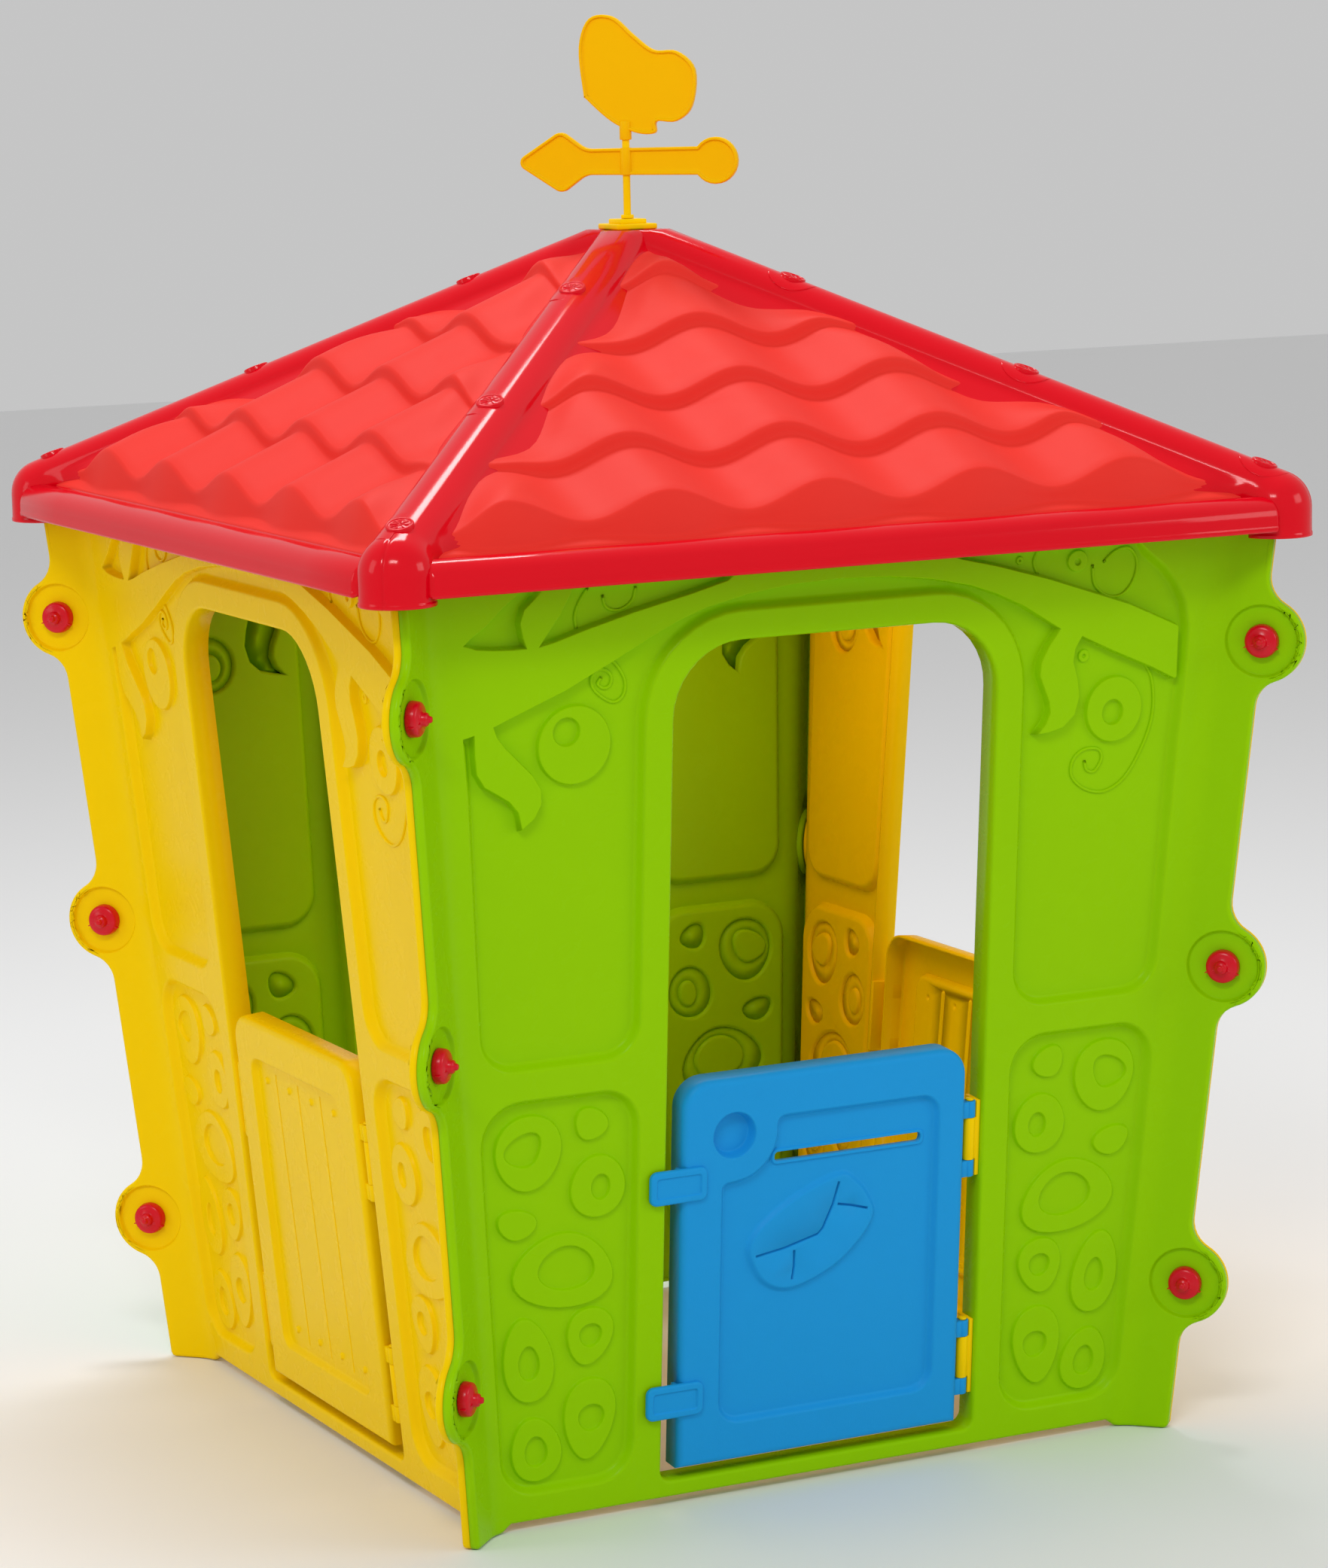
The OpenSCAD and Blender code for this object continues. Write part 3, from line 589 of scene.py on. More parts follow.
def on_flange(v, points):
    """Points drawn in the flange's own plane, about the bolt at height v."""
    x = wall_half(v) + EDGE_X
    return [(x + d - SHEAR * z, v + z / COS) for d, z in points]


def lobe_path():
    """Edge of a bolt lobe with its two necks, upwards along the leaning edge."""
    run = math.sqrt((LOBE_R + NECK_R) ** 2 - NECK_R ** 2)
    meet = math.atan2(NECK_R, run)
    arc = [(NECK_R - NECK_R * math.cos(a), -run + NECK_R * math.sin(a)) for a in
           [(math.pi / 2 - meet) * i / 6 for i in range(7)]]
    top = math.pi / 2 - meet
    nose = [(LOBE_R * math.cos(a), LOBE_R * math.sin(a)) for a in
            [-top + 2 * top * i / 24 for i in range(1, 24)]]
    path = arc + nose + [(p, -q) for p, q in reversed(arc)]
    lean = math.atan(math.sqrt(2) * RISE)
    return [(p * math.cos(lean) + q * math.sin(lean), q * math.cos(lean) - p * math.sin(lean))
            for p, q in path]


def wall_outline():
    """The flat wall's outline, with three bolt lobes up either edge."""
    top = WALL_TOP / COS
    foot_x, top_x = wall_half(0) + EDGE_X, wall_half(top) + EDGE_X
    right = [(354, 8), (358, 5), (363, 1), (368, 0), (foot_x - 5, 0), (foot_x - 1.4, 1.4),
             (wall_half(5) + EDGE_X, 5)]
    for z in BOLT_HEIGHTS:
        right += on_flange(z / COS, lobe_path())
    right += [(top_x, top - 3), (top_x - 3, top)]
    return right + flipped(right)


# Right-hand half of the lintel's lower edge, towards the middle
LINTEL_LOW = [(325, 860), (285, 879)]
LINTEL_LOW_MIDDLE = [(214, 916), (182, 931), (151, 942), (105, 952), (55, 958), (0, 960)]
RIGHT_LEAF = [(285, 879), (277, 866), (275, 852), (281, 833), (284, 815), (279, 796),
              (266, 784), (250, 780), (237, 779), (246, 788), (251, 800), (249, 812),
              (243, 826), (237, 840), (238, 854), (246, 869), (260, 888)]
LEFT_LEAF = [(-402, 834), (-401, 812), (-399, 794), (-391, 781), (-378, 773), (-364, 764),
             (-354, 752), (-350, 735), (-338, 744), (-330, 758), (-331, 773), (-340, 787),
             (-354, 801), (-370, 817), (-379, 829), (-383, 840)]


def upper_recess():
    """Recess round the opening and over the lintel's right half: its points, and for each
    the share of the full width that its edge takes."""
    ring = rounded([(-411, 770, 0), (-394, 484, 42), (-214, 484, 42), (-214, 933, 103),
                    (214, 933, 103), (214, 484, 42), (394, 484, 42), (410, 760, 0)], 9)[1:-1]
    parts = [(ring, SOFT),
             ([(410, 760), (418, 845), (419, 880), (413, 906), (402, 927), (386, 946),
               (365, 962)], SOFT),
             ([(352, 972), (128, 972)], CRISP),
             ([(140, 968), (178, 959), (244, 940), (341, 907), (401, 880)], CRISP),
             ([(402, 878), (402, 826), (400, 825), (373, 839)], CRISP),
             (LINTEL_LOW[:1], CRISP), (RIGHT_LEAF, CRISP), (LINTEL_LOW_MIDDLE, CRISP),
             ([(-p[0], p[1]) for p in reversed(LINTEL_LOW_MIDDLE[:-1])], CRISP),
             ([(-255, 895), (-306, 870), (-345, 855)], CRISP),
             (list(reversed(LEFT_LEAF)), CRISP),
             ([(-409, 832), (-415, 831)], CRISP), ([(-416, 822), (-411, 770)], SOFT)]
    points, spread = [], []
    for part, width in parts:
        points += part
        spread += [width] * len(part)
    return points, spread


def left_gables():
    """The two small recesses above the lintel's left half, either side of a wing."""
    outer = [(-417, 922), (-401, 917), (-383, 915), (-362, 914), (-346, 914), (-351, 927),
             (-354, 940), (-350, 953), (-340, 962), (-330, 972), (-356, 972), (-374, 958),
             (-392, 941), (-408, 930)]
    inner = [(-336, 914), (-318, 918), (-284, 928), (-230, 942), (-167, 956), (-128, 966),
             (-120, 972), (-299, 972), (-304, 962), (-312, 947), (-324, 931)]
    return outer, inner


# Stones of the lower panel's right side: outline, then hole
STONES = [
    (egg(337, 398, 39, 42, 0, 0.1), egg(342, 401, 22, 19, -25, 0.28)),
    (egg(268, 420, 21, 19, 30, 0.22), None),
    (egg(259, 354, 33, 35, 0, -0.05), egg(256, 353, 12, 15)),
    (egg(349, 324, 24, 18, 12, 0.18), None),
    (egg(296, 270, 58, 42, 8, -0.2), egg(293, 272, 33, 25, 6, -0.12)),
    (egg(335, 179, 30, 48, -10, -0.14), egg(334, 176, 13, 20, -5, -0.1)),
    (egg(266, 195, 28, 33, 10, 0.18), egg(265, 196, 14, 14, 0, 0.1)),
    (egg(325, 82, 30, 37, -14, -0.12), egg(325, 80, 14, 18, -6, -0.1)),
    (egg(265, 106, 31, 46, 4, 0.2), egg(263, 107, 16, 16, 0, 0.1)),
]

# Buttons of the upper panel: outline, hole, height, width of the edge, bed of the hole
BUTTONS = [
    (egg(-292, 813, 42, 42, count=44), egg(-301, 827, 16, 16), 5, STONE_EDGE, STONE_BED),
    (egg(331, 796, 36, 37, count=40), egg(329, 793, 14, 15), 5, STONE_EDGE, STONE_BED),
    (egg(293, 855, 8, 8, count=18), egg(293, 855, 3.4, 3.4, count=12), 2, 1, 0.3),
    (egg(281, 956, 13.5, 12.5, count=24), egg(281, 955, 5, 5, count=14), 3, 1.2, 0.3),
    (egg(212, 961, 5.6, 5.6, count=16), egg(212, 961, 2.4, 2.4, count=10), 2, 1, 0.3),
]

# Beaded tendrils of the upper panel
SWIRLS = [
    [(-254, 897), (-244, 887), (-236, 872), (-238, 858), (-248, 852), (-261, 858), (-271, 868),
     (-273, 879), (-265, 886), (-256, 884), (-251, 877), (-253, 869), (-260, 867), (-266, 872),
     (-262, 878)],
    [(367, 842), (377, 826), (381, 800), (378, 775), (366, 746), (348, 720), (324, 708),
     (300, 713), (284, 728), (285, 745), (298, 755), (315, 754), (320, 744), (312, 731),
     (302, 733), (299, 743)],
    [(234, 945), (229, 958), (234, 971)],
    [(300, 950), (303, 930), (318, 917), (336, 916), (350, 930), (354, 950), (344, 965),
     (327, 963), (313, 952)],
    [(-290, 929), (-292, 942), (-287, 956), (-278, 969)],
    [(-262, 960), (-258, 948), (-244, 944), (-230, 952), (-226, 966)],
]
SWIRL_R, SWIRL_LIFT = 1.7, 0.4


def opening_lip(sheet):
    """The opening's soft rim, turned in to form the jamb; gives the rim."""
    opening = rounded([(-OPENING_HALF, SILL, 12), (OPENING_HALF, SILL, 12),
                       (OPENING_HALF, OPENING_TOP, 75), (-OPENING_HALF, OPENING_TOP, 75)], 9)
    jamb = [(-4.5, 0), (-3.4, 0), (-2.2, -0.35), (-1.2, -1.1), (-0.5, -2.2), (0, -3.6),
            (0, -28)]
    return sheet.ring(opening, jamb)[0]


def craters(sheet):
    """Shallow craters round the bolts; gives their rims."""
    rims = []
    for z in BOLT_HEIGHTS:
        crater = on_flange(z / COS, egg(0, 0, CRATER_R, CRATER_R, count=40))
        for outline in (crater, flipped(crater)):
            rim, floor = sheet.ring(outline, slope(0, -CRATER_DEPTH, 3.4, rim=0.7))
            sheet.fill(floor)
            rims.append(rim)
    return rims


def stone_panel(sheet, depth, stone, turn):
    """One lower panel with its stones, its outlines passed through turn; gives its rim."""
    panel = rounded([(214, 34, 44), (367, 34, 44), (398, 458, 46), (214, 458, 44)], 8)
    rim, floor = sheet.ring(turn(panel), slope(0, -depth, 9))
    feet = [sheet.raised(turn(shape), -depth, stone - depth, STONE_EDGE,
                         hole and (turn(hole), STONE_BED - depth)) for shape, hole in STONES]
    sheet.fill(floor, *feet)
    return rim


def upper_panel(sheet, depth):
    """The panel round the opening with its buttons; gives its rim."""
    points, spread = upper_recess()
    rim, floor = sheet.ring(points, slope(0, -depth, 9), spread)
    feet = [sheet.raised(shape, -depth, height - depth, edge, (hole, bed - depth))
            for shape, hole, height, edge, bed in BUTTONS]
    sheet.fill(floor, *feet)
    return rim


def wall_shell():
    """The moulded wall sheet with its flanges, panels, stones and lintel."""
    sizes = bpy.context.scene.playhouse_sizes
    depth, stone = mm(sizes.recess), mm(sizes.pebble)
    sheet = Sheet()
    _, face = sheet.ring(wall_outline(), rolled(0, 4, FLANGE_STAND - 0.3))
    rims = [opening_lip(sheet), *craters(sheet)]
    rims += [stone_panel(sheet, depth, stone, turn) for turn in (list, flipped)]
    rims.append(upper_panel(sheet, depth))
    for gable in left_gables():
        rim, floor = sheet.ring(gable, slope(0, -depth, 2.6, rim=0.5))
        rims.append(rim)
        sheet.fill(floor)
    sheet.fill(face, *rims)
    for side in (1, -1):
        for i in range(9):
            crease = WALL_HALF - BEND_START + BEND_LENGTH * i / 8
            sheet.cut((side * crease, 0, 0), (side, -SIN, 0))
    bm = sheet.place(stand_up)
    for line in SWIRLS:
        swirl = bead([(x, v, SWIRL_LIFT - depth) for x, v in line], SWIRL_R)
        merge(bm, placed(swirl, stand_up))
    return bm


# ---- door and infills ---------------------------------------------------------------

LEAF_SKIN = 3
LEAF_LOW = LEAF_PROUD - 7     # floor of a leaf's sunk field
DOOR_LEFT = -168
DISH = (-109, 391)
TAB_HEIGHTS = (114.5, 345.5)
PLANK_PITCH = 61.5
ENVELOPE = [(-74, 224), (-39, 211), (12, 228), (48, 258), (62, 284), (55, 305), (40, 325),
            (19, 337), (-20, 326), (-56, 307), (-84, 284), (-93, 260)]
ENVELOPE_GROOVES = (
    ((-81, 256), (-48, 261), (-9, 271), (-3, 277), (8, 301), (15, 325)),
    ((13.5, 300.6), (30, 297), (50, 291)),
    ((-36, 257.5), (-36, 240), (-38, 225)),
)


def leaf_edge(sheet, left, right, roll):
    """A leaf's outline, rolled back all round; gives the edge loop of its face."""
    outline = rounded([(left, LEAF_BOTTOM, 0), (right, LEAF_BOTTOM, 0),
                       (right, LEAF_TOP, 30), (left, LEAF_TOP, 30)], 8)
    return sheet.ring(outline, rolled(LEAF_PROUD, roll, 27, steps=7))[1]


def ears(bm, side=1):
    """Knuckles of a leaf and their arms, above and below each clip."""
    for v in HINGE_HEIGHTS:
        for low in (v - CLIP_HALF - EAR_GAP - EAR_HEIGHT, v + CLIP_HALF + EAR_GAP):
            high = low + EAR_HEIGHT
            merge(bm, placed(rod((side * PIN_X, low, -PIN_SINK), (side * PIN_X, high, -PIN_SINK),
                                 KNUCKLE_R, 0.8, 28, PIN_R + 0.1)))
            ends = sorted((side * (LEAF_HALF - 3), side * (PIN_X - 3.5)))
            merge(bm, placed(box_shape((ends[0], low + 0.2, -PIN_SINK - 6.2),
                                       (ends[1], high - 0.2, -PIN_SINK + 6.2), 0.8, 2)))


def letter_slot(sheet):
    """Slot in a raised lip; gives the lip's foot."""
    high = LEAF_LOW + 2.2
    foot, top = sheet.ring(tray(-65, 350, 117, 370, 8, 5), slope(LEAF_LOW, high, 2, rim=0.6))
    rim, _ = sheet.ring(tray(-60, 355, 112, 365, 4, 4),
                        [(-1.4, high), (-0.8, high), (-0.2, LEAF_LOW + 1.8), (0, LEAF_LOW + 1),
                         (0, LEAF_LOW - 5)])
    sheet.fill(top, rim)
    return foot


def envelope(sheet):
    """Envelope-shaped stone in cushions parted by grooves; gives its foot."""
    high = LEAF_LOW + 5
    foot, crown = sheet.ring(smooth_loop(ENVELOPE), slope(LEAF_LOW, high, 7, rim=0.6, steps=7))
    rims = []
    for line in ENVELOPE_GROOVES:
        rim, bottom = sheet.ring(stroke(line, 1.7), [(0, high), (0.35, high - 0.4),
                                                     (0.5, LEAF_LOW + 1.2)])
        sheet.fill(bottom)
        rims.append(rim)
    sheet.fill(crown, *rims)
    return foot


def door_leaf():
    """The door's moulded sheet with its sunk field, dish, letter slot and envelope."""
    sheet = Sheet()
    top = leaf_edge(sheet, DOOR_LEFT, LEAF_HALF, 7)
    # the field's upper left corner sweeps round the dish
    sweep = [(DISH[0] + 47 * math.cos(a), DISH[1] + 47 * math.sin(a), 0) for a in
             [math.radians(-4 - 82 * i / 10) for i in range(11)]]
    field = rounded([(-124, 77, 27), (134, 77, 27), (134, 408, 24), (-62, 408, 12), *sweep,
                     (-125, 342, 10)], 7)
    rim, floor = sheet.ring(field, slope(LEAF_PROUD, LEAF_LOW, 7))
    dish_rim, dish_floor = sheet.ring(egg(*DISH, 26, 26, count=36),
                                      slope(LEAF_PROUD, LEAF_PROUD - 12, 5, steps=8))
    sheet.fill(dish_floor)
    sheet.fill(top, rim, dish_rim)
    sheet.fill(floor, letter_slot(sheet), envelope(sheet))
    return sheet.place(on_leaf)


def latch_tab(v):
    """Rounded tab with a sunk middle that laps over the wall's frame."""
    sheet = Sheet()
    top = LEAF_PROUD + 4.2
    _, rim = sheet.ring(tray(-206, v - 18, -141, v + 18, 8, 6),
                        rolled(top, 2.6, 4.4, steps=5, rim=0.8))
    edge, floor = sheet.ring(tray(-200, v - 12, -147, v + 12, 4, 5),
                             slope(top, top - 1.8, 1.8, rim=0.5))
    sheet.fill(floor)
    sheet.fill(rim, edge)
    return sheet.place(on_leaf)


def infill_leaf():
    """An infill's moulded sheet with plank grooves and nail heads in its sunk field."""
    sheet = Sheet()
    top = leaf_edge(sheet, -LEAF_HALF, LEAF_HALF, 6)
    border = 40
    field = tray(border - LEAF_HALF, LEAF_BOTTOM + border, LEAF_HALF - border,
                 LEAF_TOP - border, 20, 7)
    rim, floor = sheet.ring(field, slope(LEAF_PROUD, LEAF_LOW, 6))
    sheet.fill(top, rim)
    feet = []
    for i in (-1, 0, 1):
        x = i * PLANK_PITCH
        groove = rounded([(x - 0.5, 92, 1.6), (x + 3.5, 92, 1.6), (x - 4.5, 398, 1.6),
                          (x - 8.5, 398, 1.6)], 3)
        foot, bottom = sheet.ring(groove, slope(LEAF_LOW, LEAF_LOW - 1.8, 0.9, rim=0.3, steps=4))
        sheet.fill(bottom)
        feet.append(foot)
    for i in range(4):
        for v, drift in ((LEAF_BOTTOM + 66, 2), (LEAF_TOP - 66, -2)):
            nail = egg(i * PLANK_PITCH - 92 + drift, v, 5.6, 5.6, count=18)
            feet.append(sheet.raised(nail, LEAF_LOW, LEAF_LOW + 2.6, 2.2))
    sheet.fill(floor, *feet)
    return sheet.place(on_leaf)


def hinge(clips, pins, v, hand):
    """Add one clip and its pin at height v; hand is 1 on the right, -1 on the left."""
    def block(x0, x1, half, n0, n1):
        a, b = sorted((hand * x0, hand * x1))
        return placed(box_shape((a, v - half, n0), (b, v + half, n1), 0.9, 2))

    def bar(low, high, radius, bevel, steps):
        return placed(rod((hand * PIN_X, v + low, -PIN_SINK), (hand * PIN_X, v + high, -PIN_SINK),
                          radius, bevel, steps))

    merge(clips, block(180, 184.8, 41.2, -29, -4.6))
    merge(clips, block(172, 181, 22.8, -14, -5))
    merge(clips, bar(-CLIP_HALF, CLIP_HALF, KNUCKLE_R, 0.8, 28))
    merge(pins, bar(-41, 43.4, PIN_R, 0.5, 20))
    merge(pins, bar(41.4, 43.6, 4.5, 0.6, 20))


# ---- corner bolts -------------------------------------------------------------------

NUT_SEAT = 4.5    # seat of a nut or a bolt's head from the diagonal plane


def corner_matrix(k, side, z):
    """Seat at height z on corner k's flange: side 1 is the face towards the front of a
    front left corner, and local Z points out of it."""
    place = BASE_HALF + RISE * z
    normal = ACROSS * side
    turn = Matrix((UP.cross(normal), UP, normal)).transposed().to_4x4()
    spin = Matrix.Rotation(k * math.pi / 2, 4, "Z")
    return spin @ Matrix.Translation((-place, -place, z)) @ turn \
        @ Matrix.Translation((0, 0, NUT_SEAT))


def knob():
    """Winged nut: thick stepped disc, cone and tip."""
    bm = lathe([(0, 0), (17.3, 0), (17.9, 0.6), (18, 2), (17.3, 7.6), (16.8, 9.2), (15.4, 10.4),
                (13.2, 11.2), (8.2, 11.9), (7.5, 12.5), (7.2, 13.4), (6.6, 16.6), (6, 17.4),
                (4.2, 17.8), (3.7, 18.3), (3.2, 20.8), (2.7, 21.5), (1.6, 21.8), (0, 21.8)], 40)
    for angle in (200, 335):
        wing = box_shape((7, -1.4, 3), (19.6, 1.4, 12.6), 0.9, 2)
        tip = [v for v in wing.verts if v.co.x > 15]
        bmesh.ops.scale(wing, verts=tip, vec=(1, 0.4, 0.62), space=Matrix.Translation((0, 0, -3)))
        bmesh.ops.rotate(wing, verts=wing.verts, cent=(0, 0, 0),
                         matrix=Matrix.Rotation(math.radians(angle), 3, "Z"))
        merge(bm, wing)
    return bm


def bolt():
    """Domed head with a stepped rim, on the flange's other side."""
    return lathe([(0, 0), (14.2, 0), (15, 0.8), (15, 2.4), (14.2, 3.6), (12.4, 4), (9.4, 4.2),
                  (9, 4.8), (8.8, 6.2), (8, 7), (0, 7.2)], 36)


# ---- roof ---------------------------------------------------------------------------

TILE_FEET = (112, 206, 300, 394, 483)   # foot of each row, from the axis
TILE_START = 45           # top of the first row
TILE_LIFT = 4.5           # lowest part of a tile above the roof sheet
TILE_PERIOD = 176
TILE_CREST = -22          # one crest's place along the eave
TILE_MARGIN = 28          # from a hip, along the eave, under the roll
TILE_SIDE = 2.8           # width of the band at either side where the tiles drop
TILE_COLUMNS = 167
BEAM_HALF = 474           # half length of an eave beam, between the caps
BEAM_AT, BEAM_Z = 512, 990
BEAM_FROM = 499           # where the sheet turns into the beam
HIP_AXIS_Z = SHEET_APEX - 4
ROLL_R, CAP_R, CAP_AT = 32, 37.5, 497.5
ROLL_TOP = 30             # height of the roll's crest above the hip line
ROLL_SIDE = 72            # degrees from the crest to the flank
FLANK_WIDTH, FLANK_FALL = 60, math.radians(35)
CAP_FROM = 483
TAB_R = 28
PLUG_SINK = 0.8
HIP_UP = UP * math.cos(HIP_FALL) + OUT * math.sin(HIP_FALL)
HIP_DOWN = OUT * math.cos(HIP_FALL) - UP * math.sin(HIP_FALL)


def sheet_z(r):
    """Height of the roof sheet at distance r from the axis."""
    return SHEET_APEX - ROOF_SLOPE * r


def crest_share(x):
    """How near a crest the tiles are at x: 1 on it, 0 in a trough."""
    return 0.5 + 0.5 * math.cos(2 * math.pi * (x - TILE_CREST) / TILE_PERIOD)


def near_hip(r, x):
    """Share of the tiles' height: they sink toward the rolls on the hips."""
    return 0.5 + 0.5 * eased((r - abs(x) - 36) / 70)


def lattice(columns, rows):
    """Grid of that many points, and each point with its column and its row from the top."""
    bm = bmesh.new()
    bmesh.ops.create_grid(bm, x_segments=columns - 1, y_segments=rows - 1, size=0.5)
    return bm, [(v, round((v.co.x + 0.5) * (columns - 1)), round((0.5 - v.co.y) * (rows - 1)))
                for v in bm.verts]


def tile_rows(step):
    """(distance from the axis, base height, share of the wave, set-out at crests) of each
    line of points down the tiles."""
    rows = []
    previous = TILE_START
    for foot in TILE_FEET:
        last = foot == TILE_FEET[-1]
        low, high = TILE_LIFT, TILE_LIFT + step - (2.5 if last else 0)
        for i in range(9):
            share = i / 8
            rows.append((previous + 2.4 + (foot - 3.6 - previous - 2.4) * share,
                         low + (high - low) * share, 1, 0))
        rows += [(foot - 2.0, high - 0.5, 1, 0), (foot - 0.8, high - 1.8, 1, 0)]
        if last:
            rows += [(foot - 0.1, high - 3.6, 0.98, 0.6), (foot + 0.4, high * 0.5, 0.55, 4),
                     (foot + 0.8, 1.6, 0.06, 7.6), (foot + 1.4, 0.9, 0, 8.6),
                     (foot + 2.6, 0.9, 0, 9.4), (494, 0.9, 0, 4), (498.4, 0.9, 0, 0),
                     (498.8, -1.5, 0, 0)]
        else:
            rows += [(foot - 0.2, high - 4, 1, 0), (foot + 0.1, high - 7, 1, 0),
                     (foot + 0.5, low + 1.3, 1, 0), (foot + 1.3, low + 0.3, 1, 0)]
        previous = foot
    return rows


def tile_field(mirrored):
    """Wavy stepped tiles as one grid whose edges drop to the roof sheet."""
    sizes = bpy.context.scene.playhouse_sizes
    wave, rows = mm(sizes.tile_wave), tile_rows(mm(sizes.tile_step))
    bm, spots = lattice(TILE_COLUMNS, len(rows))
    # the three columns at either side: (distance in from the edge, share of the height)
    drops = ((0, None), (0.2, 0.35), (1.2, 0.86))
    for v, i, j in spots:
        r, base, share, out = rows[j]
        near = min(i, TILE_COLUMNS - 1 - i)
        half = r - TILE_MARGIN - TILE_SIDE
        x = half * (2 * min(1, max(0, (i - 3) / (TILE_COLUMNS - 7))) - 1)
        keep = near_hip(r, x) if r < TILE_FEET[-1] + 1 else 1
        if near < len(drops):
            inward, drop = drops[near]
            keep = None if drop is None else keep * drop
            x += math.copysign(TILE_SIDE - inward, i - TILE_COLUMNS / 2)
        h = -1.5 if keep is None else (base + wave * share * crest_share(x)) * keep
        r += out * crest_share(x)
        v.co = (-x if mirrored else x, -r, sheet_z(r) + h)
    return face_up(bm)


def roof_sheet():
    """Smooth roof sheet mitred at both hips, and its eave beam with rounded ends."""
    profile = [(r, sheet_z(r)) for r in (10, 14, 120, 300, 470, 490, 496, 498.4)]
    profile += [(500, 1008.4), (501.6, 1007.8), (503.2, 1008.8)]
    for i in range(14):
        a = math.radians(112 - 112 * i / 13)
        profile.append((BEAM_AT + 23.3 * math.cos(a), BEAM_Z + 22 * math.sin(a)))
    profile += [(535.3, 983), (535.4, 982), (535.75, 981.2), (535.75, 978), (535.2, 976.6),
                (534, 976.1), (532.4, 976.1)]
    # a beam's rounded end: (reach past the beam, share of its girth)
    ends = [(0, 1), (1.2, 0.985), (2.6, 0.95), (4.4, 0.88), (6, 0.78), (7, 0.6)]
    stations = [(-1, i) for i in reversed(range(len(ends)))]
    stations += [(i / 4, 0) for i in range(-3, 4)] + [(1, i) for i in range(len(ends))]
    bm, spots = lattice(len(stations), len(profile))
    for v, i, j in spots:
        share, end = stations[i]
        r, z = profile[j]
        at_end = abs(share) == 1
        if r > BEAM_FROM:
            reach, keep = ends[end]
            x = share * (BEAM_HALF + reach) if at_end else share * BEAM_HALF
            r, z = BEAM_AT + (r - BEAM_AT) * keep, BEAM_Z + (z - BEAM_Z) * keep
        else:
            open_out = end / (len(ends) - 1) if at_end else 1
            x = share * (min(r, BEAM_HALF) + max(0, r - BEAM_HALF) * open_out)
        v.co = (x, -r, z)
    return face_up(bm)


def roll_z(x, radius):
    """Height of the roll's centre at distance x along both walls."""
    return HIP_AXIS_Z - ROOF_SLOPE * x - (radius - ROLL_TOP) / math.cos(HIP_FALL)


def hip_stations():
    """Stations down a hip: the centre's distance along x and its height, the tilt of the up
    direction, the radius and how far the roll has become the cap."""
    stations = [(x, roll_z(x, ROLL_R), HIP_FALL, ROLL_R, 0)
                for x in (1, 8, 16, 24, 60, 140, 220, 300, 380, 440, 470, 478, CAP_FROM)]
    for i in range(1, 7):
        t = i / 6
        radius = ROLL_R + (CAP_R - ROLL_R) * eased(t)
        x = CAP_FROM + (CAP_AT - CAP_FROM) * t
        stations.append((x, roll_z(x, radius), HIP_FALL, radius, eased(t)))
    z = stations[-1][1]
    for i in range(1, 10):
        stations.append((CAP_AT, z, HIP_FALL + (math.pi / 2 - HIP_FALL) * i / 9, CAP_R, 1))
    for z, radius in ((984, CAP_R), (974, CAP_R), (973, CAP_R + 0.1), (972.2, CAP_R + 0.6),
                      (971.4, CAP_R + 0.75), (969.2, CAP_R + 0.75), (968.4, CAP_R + 0.4),
                      (968.1, CAP_R - 0.6)):
        stations.append((CAP_AT, z, math.pi / 2, radius, 1))
    return stations


def roll_section(x, radius, cap):
    """(across, up) points of one half of the roll, its crest left out."""
    side = [(radius * math.sin(a), radius * math.cos(a)) for a in
            [math.radians(1.8 + (ROLL_SIDE - 1.8) * i / 13) for i in range(14)]]
    low = side[-1]
    # the flank runs out under the tiles; on the cap it is the rest of the round
    width = FLANK_WIDTH * min(1, (x + 8) / 90) * eased((CAP_FROM + 6 - x) / 60)
    rest = 1 if cap else eased((x - 440) / (CAP_FROM - 440))
    for i in range(1, 8):
        t = i / 7
        a = math.radians(ROLL_SIDE + 54 * t)
        lip = min(1, 3 * t)
        flank = (low[0] + 1.6 * lip + width * t * math.cos(FLANK_FALL),
                 low[1] - 2.4 * lip - width * t * math.sin(FLANK_FALL))
        lap = (radius * math.sin(a), radius * math.cos(a))
        side.append(tuple(p + (q - p) * rest for p, q in zip(flank, lap)))
    return side


def hip_roll():
    """Rolled hip cover that swells into the corner cap, on the front left hip."""
    bm = bmesh.new()
    rows = []
    for x, z, tilt, radius, cap in hip_stations():
        up = UP * math.cos(tilt) + OUT * math.sin(tilt)
        centre = Vector((-x, -x, z))
        side = roll_section(x, radius, cap)
        row = []
        for a, h in [(-a, h) for a, h in reversed(side)] + [(0, radius - 0.8 * cap)] + side:
            p = centre + h * up + a * ACROSS
            p.z = min(p.z, APEX)
            row.append(bm.verts.new(p))
        rows.append(row)
    for a, b in zip(rows, rows[1:]):
        chains = [bm.edges.get(pair) or bm.edges.new(pair)
                  for row in (a, b) for pair in zip(row, row[1:])]
        bmesh.ops.bridge_loops(bm, edges=chains)
    return face_up(bm)


def plug_centre(run):
    """Point of the roll's axis under the plug at that share of the hip."""
    x = run * HIP_LENGTH * math.cos(HIP_FALL) / math.sqrt(2)
    return Vector((-x, -x, roll_z(x, ROLL_R)))


